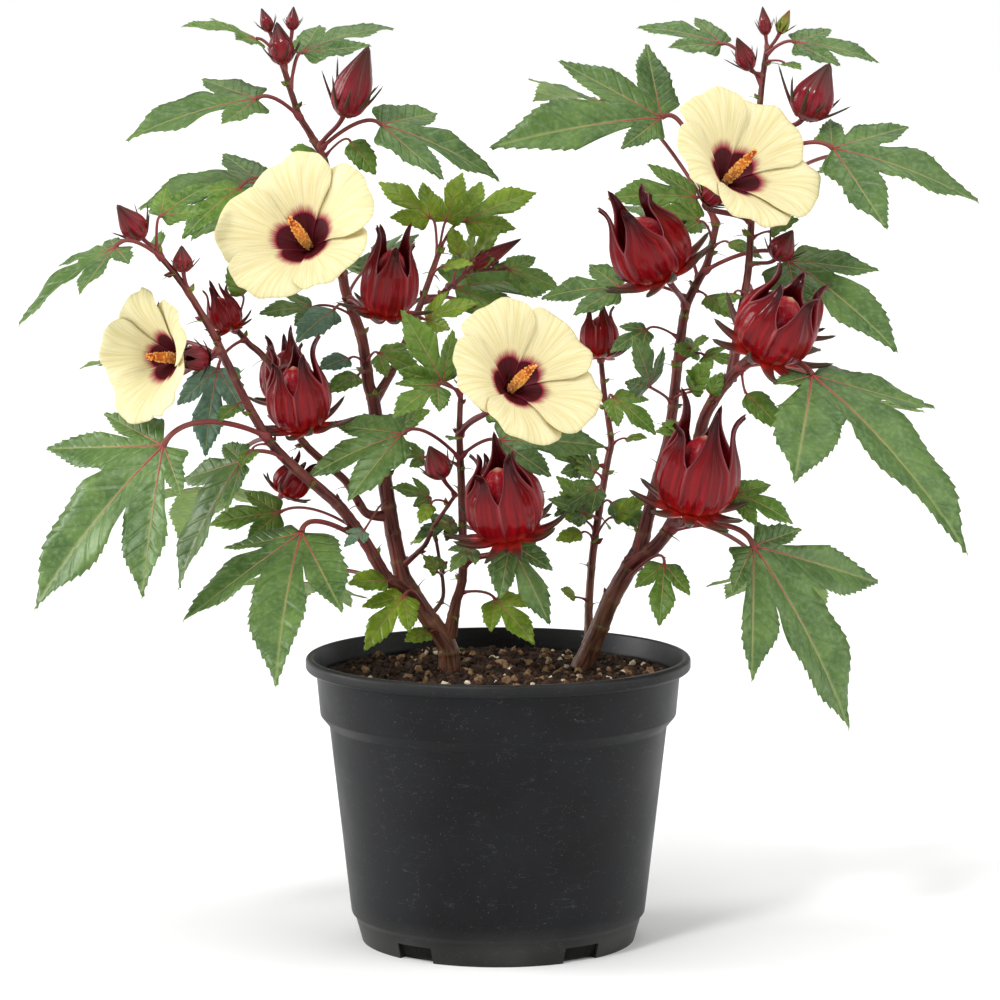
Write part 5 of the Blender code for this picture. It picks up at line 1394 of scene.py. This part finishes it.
LOW_LEAVES = {
    "leaf_front_left": ("outer_left", (237, (-117, -45, 245), (-133, -131, 151), "front_left", (-30, 60), "dark")),
    "leaf_side_left": ("outer_left", (245, (-130, 10, 257), (-173, 15, 249), 3, (-15, 40), "mid")),
    "leaf_back_left": ("trunk_left", (200, (-110, 80, 215), (-140, 150, 190), 5, (190, 40), "dark")),
    "leaf_foot_left": ("trunk_left", (190, (-56, -12, 207), (-80, -30, 173), 3, (-5, 40), "young")),
    "leaf_fork_left": ("trunk_left", (197, (-66, -14, 216), (-90, -27, 214), 1, (-5, 40), "young")),
    "leaf_root_left": ("trunk_left", (181, (-41, 0, 185), (-56, -14, 179), 1, (-5, 40), "young")),
    "leaf_blue_left": ("tall_left", (262, (-80, -34, 246), (-92, -44, 236), 3, (-10, 40), "blue")),
    "leaf_front_right": ("outer_right", (245, (152, -30, 237), (210, -18, 125), "front_right", (40, 20), "dark")),
    "leaf_inner_right": ("trunk_right", (207, (99, -14, 226), (96, -36, 188), 3, (10, 40), "mid")),
    "leaf_back_right": ("outer_right", (250, (160, 60, 222), (195, 135, 190), 5, (165, 40), "dark")),
    "leaf_fruit_right": ("outer_right", (268, (141, -34, 269), (176, -30, 250), 3, (15, 40), "mid")),
}


class Blade:
    """The curved sheet that a leaf's outline lies on."""

    def __init__(self, foot, tip, faces):
        self.foot = foot
        self.length = (tip - foot).length
        self.ahead = (tip - foot).normalized()
        turn, rise = (math.radians(angle) for angle in faces)
        look = Vector((math.sin(turn) * math.cos(rise), -math.cos(turn) * math.cos(rise), math.sin(rise)))
        self.up = (look - self.ahead * look.dot(self.ahead)).normalized()
        self.side = self.ahead.cross(self.up)

    def at(self, p, q, lift=0.0):
        """The point that is p blade lengths ahead of the foot and q to the side."""
        rise = self.length * (ARCH * 4 * p * (1 - p) - CUP * q * q + lift)
        return self.foot + (self.ahead * p + self.side * q) * self.length + self.up * rise


class Lobe:
    """One lobe of a blade in plan: its own midrib, and a margin with forward teeth on each side."""

    def __init__(self, angle, reach, gaps, half_width, teeth, draw):
        self.angle = math.radians(angle)
        self.reach = reach
        self.width = half_width * reach
        self.sides = [self.edge(gap, teeth, draw) for gap in gaps]
        self.phase = draw.uniform(0, math.tau)

    def edge(self, gap, teeth, draw):
        """The margin from the gap beside the lobe to its tip, as (along, off) pairs."""
        angle, reach, inner = gap
        turn = abs(math.radians(angle) - self.angle)
        start = Vector((reach * math.cos(turn), reach * math.sin(turn)))
        lean = min(math.atan2(self.width, self.reach * SHOULDER_AT), 2 * SHOULDER_ROOM * turn)
        shoulder = Vector((math.cos(lean), math.sin(lean))) * math.hypot(self.width, self.reach * SHOULDER_AT)
        tip = Vector((self.reach, 0.0))
        level = Vector((self.reach, 0.0))
        fullness = self.width * (0.25 if inner else 0.6)
        swell = bezier(start, start + (shoulder - start) * 0.25 + Vector((0.0, fullness)),
                       shoulder - level * 0.18, shoulder, 24)
        taper = bezier(shoulder, shoulder + level * 0.20, tip - level * 0.16 + Vector((0.0, self.width * 0.22)),
                       tip, 24)
        line = swell + taper[1:]
        travel = [0.0]
        for a, b in zip(line, line[1:]):
            travel.append(travel[-1] + (b - a).length)
        made = [start]
        for n in range(teeth):
            spacing = travel[-1] / (teeth + 0.4)
            for share, out in ((0.30, 0.30), (0.72, 1.0), (0.86, 0.35), (1.0, 0.0)):
                place = spacing * (n + 0.2 + share + draw.uniform(-0.05, 0.05))
                spot, way = self.spot_on(line, travel, min(place, travel[-1] * 0.995))
                size = TOOTH * spacing * math.sin(math.pi * min(0.96, (n + 0.9) / (teeth + 0.9))) ** 0.5
                spot = spot + Vector((-way.y, way.x)) * size * out + way * size * out * 0.5
                if inner and math.atan2(spot.y, spot.x) > turn * 0.96:
                    spot = Vector((math.cos(turn * 0.96), math.sin(turn * 0.96))) * spot.length
                made.append(spot)
        return made + [tip]

    def spot_on(self, line, travel, place):
        for n in range(len(line) - 1):
            if travel[n + 1] >= place:
                f = (place - travel[n]) / (travel[n + 1] - travel[n])
                return line[n].lerp(line[n + 1], f), (line[n + 1] - line[n]).normalized()
        return line[-1], (line[-1] - line[-2]).normalized()

    def plan(self, along, off):
        """The plan place (ahead, to the side) of a spot in the lobe, off to one side of its midrib."""
        turn = Vector((math.cos(self.angle), math.sin(self.angle)))
        return turn * along + Vector((-turn.y, turn.x)) * off

    def own(self, spot):
        """How far a plan place lies along the lobe's midrib, and off it."""
        turn = Vector((math.cos(self.angle), math.sin(self.angle)))
        return spot.dot(turn), spot.dot(Vector((-turn.y, turn.x)))

    def half_width(self, along):
        share = max(0.0, min(1.0, along / self.reach))
        if share < SHOULDER_AT:
            return self.width * (0.62 + 0.38 * share / SHOULDER_AT)
        return self.width * (1 - ((share - SHOULDER_AT) / (1 - SHOULDER_AT)) ** 1.7)

    def lift(self, along, off, veins):
        """The height of the blade's own relief: folded on its midrib, puffed between veins, waved at the rim."""
        share = max(0.0, min(1.0, along / self.reach))
        wide = max(self.half_width(along), 0.01 * self.reach)
        aside = min(1.0, abs(off) / wide)
        fold = -FOLD * self.reach * (1 - aside) * 4 * share * (1 - share)
        phase = (along - abs(off) * VEIN_SLANT) / self.reach * veins
        puff = abs(math.sin(math.pi * phase)) ** 0.7 * min(1.0, aside * 4) * (1 - aside ** 3)
        wave = aside ** 2 * math.sin(share * 2.3 * math.tau + self.phase + (1 if off > 0 else 0))
        return fold + self.reach * (QUILT * puff + WAVE * wave)

    def inner_spots(self, veins):
        """Plan places on and between the side veins."""
        spots = []
        for n in range(1, 2 * veins):
            foot = self.reach * (0.06 + 0.86 * n / (2 * veins))
            for side in (-1, 1):
                for share in (0.16, 0.38, 0.62, 0.84):
                    off = self.half_width(foot) * share
                    along = foot + off * VEIN_SLANT
                    if off < self.half_width(along) * 0.88 and along < self.reach * 0.93:
                        spots.append((along, off * side))
        return spots


def side_teeth(size):
    """How many teeth a margin of this many metres has."""
    return max(4, min(14, round(3.5 + 88 * size)))


def leaf_blade(store, ribs, blade, lobes, draw):
    """A toothed blade as a mesh in its own outline, and the ribs that run down its lobes."""
    rows = LOBES[lobes]
    count = len(rows)
    beyond, end_reach = OUTER_SINUS[count]
    gaps = [(rows[0][0] - beyond, end_reach, False)]
    for (angle, reach), (angle_2, reach_2) in zip(rows, rows[1:]):
        depth = min(SINUS_AT[count] * (reach + reach_2) / 2, SINUS_MOST * min(reach, reach_2))
        gaps.append(((angle + angle_2) / 2, depth, True))
    gaps.append((rows[-1][0] + beyond, end_reach, False))
    parts = []
    for n, (angle, reach) in enumerate(rows):
        teeth = side_teeth(reach * blade.length)
        parts.append(Lobe(angle, reach, (gaps[n], gaps[n + 1]), HALF_WIDTH[count], teeth, draw))
    veins = max(4, min(8, round(3 + 45 * blade.length)))
    outline = [Vector((0.0, 0.0))]
    for n, part in enumerate(parts):
        before = [part.plan(along, -off) for along, off in part.sides[0]]
        after = [part.plan(along, off) for along, off in reversed(part.sides[1])]
        outline += before[1 if n else 0:] + after[1:]
    spots = list(outline)
    edges = []
    for part in parts:
        last = 0
        for n in range(1, 2 * veins):
            along = part.reach * n / (2 * veins)
            spots.append(part.plan(along, 0.0))
            edges.append((last, len(spots) - 1))
            last = len(spots) - 1
    limits = [math.radians(gap[0]) for gap in gaps]
    for n, part in enumerate(parts):
        for along, off in part.inner_spots(veins):
            spot = part.plan(along, off)
            turn = math.atan2(spot.y, spot.x)
            if limits[n] * 0.97 + 0.02 < turn < limits[n + 1] * 0.97 - 0.02 or along > 0.5 * part.reach:
                spots.append(spot)
    flat, _, faces, _, _, _ = geometry.delaunay_2d_cdt(spots, edges, [list(range(len(outline)))], 1, 1e-6)
    corners = []
    for spot in flat:
        part = nearest_lobe(parts, spot)
        corners.append(blade.at(spot.x, spot.y, part.lift(*part.own(spot), veins)))
    faces = [tuple(reversed(face)) for face in faces]
    places = []
    for face in faces:
        middle = sum((flat[n] for n in face), Vector((0.0, 0.0))) / len(face)
        part = nearest_lobe(parts, middle)
        row = []
        for n in face:
            along, off = part.own(flat[n])
            phase = (along - abs(off) * VEIN_SLANT) / part.reach * veins
            row.append((phase, abs(off) / part.reach))
        places.append(row)
    store.add(corners, faces, places)
    for part in parts:
        rib = []
        for n in range(RIB_STEPS + 1):
            share = RIB_SHARE * n / RIB_STEPS
            spot = part.plan(part.reach * share, 0.0)
            point = blade.at(spot.x, spot.y, part.lift(part.reach * share, 0.0, veins))
            size = (0.00016 + 0.0042 * blade.length * math.sqrt(part.reach)) * (1 - share) + 0.0001
            rib.append((point, size, share))
        ribs.append(rib)


def nearest_lobe(parts, spot):
    """The lobe whose midrib lies nearest in angle to a plan place."""
    turn = math.atan2(spot.y, spot.x)
    return min(parts, key=lambda part: abs(turn - part.angle))


def stalk_path(start, blade, count):
    """A stalk that leaves its stem upwards and comes to the blade's foot along the blade."""
    span = (blade.foot - start).length
    rise = Vector((0.0, 0.0, STALK_RISE * span))
    out = start + (blade.foot - start) * 0.3 + rise * 0.6
    into = blade.foot - blade.ahead * span * 0.22 + rise * 0.4
    return bezier(start, out, into, blade.foot, count)


def leaf_stalk(stem, place, blade):
    """The rows of a leaf stalk, swollen where it leaves the stem and where it meets the blade."""
    start = stem.point(place)
    thick = STALK_THIN + STALK_GROWTH * blade.length
    points = stalk_path(start, blade, max(6, round((blade.foot - start).length / 0.0025)))
    rows = []
    for n, point in enumerate(points):
        share = n / (len(points) - 1)
        skin = max(0.0, (point - start).length - stem.radius(place))
        collar = 0.9 * math.exp(-(skin / 0.0018) ** 2)
        neck = 0.25 * math.exp(-((1 - share) / 0.06) ** 2)
        rows.append((point, thick * (0.82 + collar + neck), 0.3 + 0.25 * share))
    return rows


def add_leaf(row, stem, on_skin=False):
    """Adds one leaf, on its stalk, to the pieces for its kind."""
    joint, foot, tip, lobes, faces, kind = row
    blade = Blade(placed(*foot), placed(*tip), faces)
    place = stem.at_height(joint)
    leaf_stalks.append(leaf_stalk(stem, place, blade))
    leaf_blade(blades[kind], ribs[kind], blade, lobes, draw)
    start = skin_start(stem, place, blade.foot) if on_skin else stem.point(place)
    path = stalk_path(start, blade, 2 if lobes == 1 else 3)
    KEPT.add(path[1:], STALK_THIN + STALK_GROWTH * blade.length + 0.002, stem.name)
    for angle, reach in LOBES[lobes]:
        turn = math.radians(angle)
        line = [blade.at(reach * share * math.cos(turn), reach * share * math.sin(turn))
                for share in (0.2, 0.5, 0.8)]
        KEPT.add(line, LEAF_ROOM, stem.name)


draw = random.Random(33)
blades = {}
ribs = {}
for kind in LEAF_KINDS:
    blades[kind] = Store()
    ribs[kind] = []
leaf_stalks = []
for stem_name, rows in LEAVES.items():
    for row in rows:
        add_leaf(row, STEM_OF[stem_name])
for carrier, row in LOW_LEAVES.values():
    add_leaf(row, STEM_OF[carrier], True)

# The small leaves. At the joints of every side stem but the bright side shoot stand short plain leaves on short
# stalks, by a seeded rule. One that would touch a limb, a fruit or another leaf is left out.

SEED = 11
JOINT_STEP = 0.036
JOINT_TURN = 137.5
JOINT_SWAY = 20
SMALL_RISE = (0.1, 0.9)
SMALL_SAG = (-0.7, 0.3)
SMALL_LEAF = (0.013, 0.024)
SMALL_STALK = (0.007, 0.013)
SMALL_ROOM = 0.004


def small_leaves(stem, kind):
    """Small stalked leaves at the joints of a stem."""
    turns = random.Random(SEED + sum(ord(letter) for letter in stem.name))
    place = stem.bare + 0.35
    turn = turns.uniform(0, 360)
    while place < stem.last - 0.1:
        turn += JOINT_TURN + turns.uniform(-JOINT_SWAY, JOINT_SWAY)
        length = turns.uniform(*SMALL_LEAF)
        stalk_length = turns.uniform(*SMALL_STALK)
        rise = turns.uniform(*SMALL_RISE)
        sag = turns.uniform(*SMALL_SAG)
        out = Vector((math.sin(math.radians(turn)), -math.cos(math.radians(turn)), 0.0))
        at = place
        start = stem.point(at)
        foot = start + (out + Vector((0.0, 0.0, rise))).normalized() * stalk_length
        tip = foot + (out + Vector((0.0, 0.0, sag))).normalized() * length
        span = (stem.point(min(place + 0.1, stem.last)) - start).length
        place += 0.1 * JOINT_STEP / span
        blade = Blade(foot, tip, (math.degrees(math.atan2(out.x, -out.y)) * 0.6, 40))
        body = [blade.at(share, 0.0) for share in (0.2, 0.6, 1.0)]
        if not KEPT.free(body, SMALL_ROOM, None) or not KEPT.free([foot], 0.001, stem.name):
            continue
        leaf_stalks.append(leaf_stalk(stem, at, blade))
        leaf_blade(blades[kind], ribs[kind], blade, 1, draw)
        KEPT.add(body, SMALL_ROOM, stem.name)


# None grows in front of the youngest calyx of the inner left bough.
KEPT.add([placed(-168, y, 382) for y in (-90, -74, -58)], 0.012, "bare")

for stem in STEM_OF.values():
    if stem.carrier is not None and stem.name != "bright_side":
        small_leaves(stem, "young" if stem.name in ("bright", "slim_right", "thin_twig", "front_twig") else "mid")

# More leaves in the heart of the plant, too many and too small for the model: rows as above.
INNER_LEAVES = {
    "tall_left": [(345, (-71, 18, 352), (-44, 5, 339), 3, (-5, 40), "mid"),
                  (300, (-62, 14, 306), (-40, 2, 318), 1, (-5, 40), "mid")],
    "bright": [(345, (-64, 30, 355), (-50, 22, 345), 1, (-5, 40), "mid")],
    "centre": [(284, (-44, -12, 290), (-66, -20, 293), 3, (-5, 40), "mid"),
               (250, (-10, -10, 262), (12, -16, 268), 1, (5, 40), "mid"),
               (306, (-8, -4, 316), (16, 4, 326), 3, (5, 40), "mid")],
    "thin_twig": [(246, (-27, 14, 251), (-50, 0, 241), 3, (-5, 40), "dark"),
                  (220, (-31, 20, 227), (-45, 10, 224), 1, (-5, 40), "mid")],
    "inner_right": [(346, (119, 26, 352), (103, 14, 354), 1, (5, 40), "mid"),
                    (348, (122, 20, 351), (143, 8, 345), 3, (10, 40), "mid"),
                    (328, (122, 12, 331), (111, 2, 342), 1, (5, 40), "mid"),
                    (300, (111, 8, 305), (93, -4, 305), 3, (5, 40), "mid"),
                    (360, (88, 30, 366), (66, 22, 352), 3, (5, 40), "dark")],
    "outer_right": [(322, (126, -26, 327), (133, -32, 341), 1, (10, 40), "mid"),
                    (250, (127, -10, 252), (137, -18, 244), 1, (10, 40), "mid")],
    "slim_right": [(276, (58, 58, 281), (42, 52, 296), 3, (0, 40), "mid"),
                   (268, (59, 48, 272), (33, 36, 254), 3, (-5, 40), "dark"),
                   (260, (67, 45, 263), (88, 35, 247), 1, (5, 40), "dark"),
                   (322, (54, 70, 330), (32, 60, 338), 3, (0, 40), "dark"),
                   (294, (58, 60, 296), (42, 50, 293), 1, (-5, 40), "mid"),
                   (284, (50, 60, 284), (25, 48, 299), 3, (-5, 40), "dark"),
                   (252, (52, 44, 256), (29, 34, 265), 3, (-5, 40), "dark"),
                   (258, (50, 46, 262), (34, 40, 279), 3, (-5, 40), "mid")],
}
for stem_name, rows in INNER_LEAVES.items():
    for row in rows:
        add_leaf(row, STEM_OF[stem_name])


def leaf_finish(name, flesh, shade, light, roughness):
    """Leaf skin: waxy, mottled, with painted shade along its sunk side veins, and a fine net of veinlets between
    them.
    """
    made, tree, surface = new_finish(name, {
        "Roughness": roughness, "Specular IOR Level": 0.32, "Subsurface Weight": 0.05,
        "Subsurface Radius": (0.4, 0.6, 0.05), "Subsurface Scale": 0.0012})
    at = put(tree, "ShaderNodeTexCoord").outputs["Object"]
    spot = put(tree, "ShaderNodeUVMap", uv_map="pattern")
    parts = put(tree, "ShaderNodeSeparateXYZ", {0: spot}).outputs
    cloud = put(tree, "ShaderNodeTexNoise", {"Vector": at, "Scale": 1 / 0.022, "Detail": 5})
    body = tinted(tree, cloud, 0.34, 0.66, shade, flesh)
    pits = put(tree, "ShaderNodeTexNoise", {"Vector": at, "Scale": 1 / 0.0028, "Detail": 4})
    flecked = tinted(tree, pits, 0.45, 0.75, body, light, 0.5)
    swing = put(tree, "ShaderNodeMath", {0: parts["X"], 1: 0.5}, operation="PINGPONG")
    # Painted shade: the darker leaf tone laid in a band along each sunk side vein.
    vein_groove_shaded = tinted(tree, swing, 0.10, 0.0, flecked, shade, 0.42)
    ribbed = tinted(tree, parts["Y"], 0.012, 0.004, vein_groove_shaded, "#97a066", 0.4)
    tree.links.new(tinted(tree, swing, 0.022, 0.0, ribbed, light, 0.45), surface.inputs["Base Color"])
    puffed = put(tree, "ShaderNodeMapRange", {0: swing, 1: 0.0, 2: 0.20}, interpolation_type="SMOOTHSTEP")
    broad = put(tree, "ShaderNodeBump", {"Height": puffed, "Strength": 0.55, "Distance": 0.0008})
    net = put(tree, "ShaderNodeTexVoronoi", {"Vector": at, "Scale": 1 / 0.0019}, feature="DISTANCE_TO_EDGE")
    relief = put(tree, "ShaderNodeBump", {"Height": net, "Strength": 0.22, "Distance": 0.0006,
                                          "Normal": broad})
    tree.links.new(relief.outputs[0], surface.inputs["Normal"])
    return made


leaf_tops = {
    "dark": leaf_finish("old_leaf_skin", "#5c783a", "#3c5a28", "#7f9660", 0.36),
    "mid": leaf_finish("grown_leaf_skin", "#64832e", "#436420", "#87a04e", 0.36),
    "young": leaf_finish("young_leaf_skin", "#7f9620", "#557212", "#9bae3a", 0.38),
    "blue": leaf_finish("bloomed_leaf_skin", "#5f7f68", "#425f4c", "#7f9c84", 0.5),
}
leaf_back = leaf_finish("leaf_underside", "#84a052", "#65823a", "#9cb46c", 0.6)
rib_skin = graded_finish("leaf_rib_skin", ((0.0, "#9a2836"), (0.34, "#a0564a"), (0.6, "#a08e5c"),
                                           (1.0, "#869650")), 0.45)
leaf_nodes = [node for node in frame["nodes"] if node.startswith(("foliage", "leaf"))]
for kind in LEAF_KINDS:
    piece = blades[kind].piece("leaf_blades_" + kind, [leaf_tops[kind], leaf_back])
    thickness = piece.modifiers.new("thickness", "SOLIDIFY")
    thickness.thickness = BLADE_THICK
    thickness.offset = -1.0
    thickness.material_offset = 1
    thickness.material_offset_rim = 1
    hand_over(piece, "foliage", *leaf_nodes)
all_ribs = [rib for kind in LEAF_KINDS for rib in ribs[kind]]
hand_over(rods("leaf_ribs", all_ribs, 6, 0.0, 1.0, rib_skin), "foliage")
hand_over(rods("leaf_stalks", leaf_stalks, 9, 0.0001, 0.002, stalk_skin), "stem_bark")

# The studio. A plain pale floor that runs back out of sight, a white backdrop all round under a dimmer
# ceiling, soft light from the upper left and a weaker one from the right, and the camera at the
# photograph's place and angle.

FLOOR_HALF = 150.0
BACKDROP = 1.0
CEILING = 0.28
CAMERA_PLACE = (0.00106, -2.34641, 0.53801)
CAMERA_PITCH = -0.11607
CAMERA_LENS = 142.93

floor_finish, nodes, shader = new_finish("pale_floor", {"Roughness": 0.9, "Specular IOR Level": 0.1})
here = put(nodes, "ShaderNodeTexCoord").outputs["Object"]
cloud = put(nodes, "ShaderNodeTexNoise", {"Vector": here, "Scale": 3.0, "Detail": 2})
tone = put(nodes, "ShaderNodeMix", {0: cloud, 6: linear("#f3f3f3"), 7: linear("#f7f7f7")}, data_type="RGBA")
nodes.links.new(tone.outputs[2], shader.inputs["Base Color"])
floor = add_mesh("floor", [(-FLOOR_HALF, -FLOOR_HALF, 0.0), (FLOOR_HALF, -FLOOR_HALF, 0.0),
                           (FLOOR_HALF, FLOOR_HALF, 0.0), (-FLOOR_HALF, FLOOR_HALF, 0.0)], [(0, 1, 2, 3)])
floor.data.materials.append(floor_finish)

for name, place, spread, strength in (("key_upper_left", (-1.0, -0.9, 1.9), 40, 0.8),
                                      ("fill_right", (1.4, -0.8, 1.6), 55, 1.1),
                                      ("top_back", (0.2, 0.9, 1.8), 50, 0.7),
                                      ("glint_upper_left", (-0.8, -1.3, 1.4), 9, 1.15),
                                      ("panel_left", (-1.0, 0.12, 0.28), 34, 2.1),
                                      ("panel_right", (1.0, -0.15, 0.28), 36, 0.4)):
    lamp = bpy.data.lights.new(name, "SUN")
    lamp.angle = math.radians(spread)
    lamp.energy = strength
    hung = bpy.data.objects.new(name, lamp)
    hung.location = place
    hung.rotation_euler = (-Vector(place)).to_track_quat("-Z", "Y").to_euler()
    bpy.context.scene.collection.objects.link(hung)

world = bpy.data.worlds.new("studio")
world.use_nodes = True
nodes = world.node_tree
aim = put(nodes, "ShaderNodeTexCoord").outputs["Generated"]
up = put(nodes, "ShaderNodeSeparateXYZ", {0: aim}).outputs["Z"]
glow = put(nodes, "ShaderNodeMapRange", {0: up, 1: 0.13, 2: 0.34, 3: BACKDROP, 4: CEILING}).outputs[0]
nodes.links.new(glow, nodes.nodes["Background"].inputs["Strength"])
nodes.nodes["Background"].inputs["Color"].default_value = (1.0, 1.0, 1.0, 1.0)
bpy.context.scene.world = world
bpy.context.scene.view_settings.view_transform = "Standard"

camera = bpy.data.cameras.new("camera")
camera.lens = CAMERA_LENS
camera.sensor_width = 36.0
camera.clip_end = 60.0
viewer = bpy.data.objects.new("camera", camera)
viewer.location = CAMERA_PLACE
viewer.rotation_euler = (math.pi / 2 + CAMERA_PITCH, 0.0, 0.0)
bpy.context.scene.collection.objects.link(viewer)
bpy.context.scene.camera = viewer
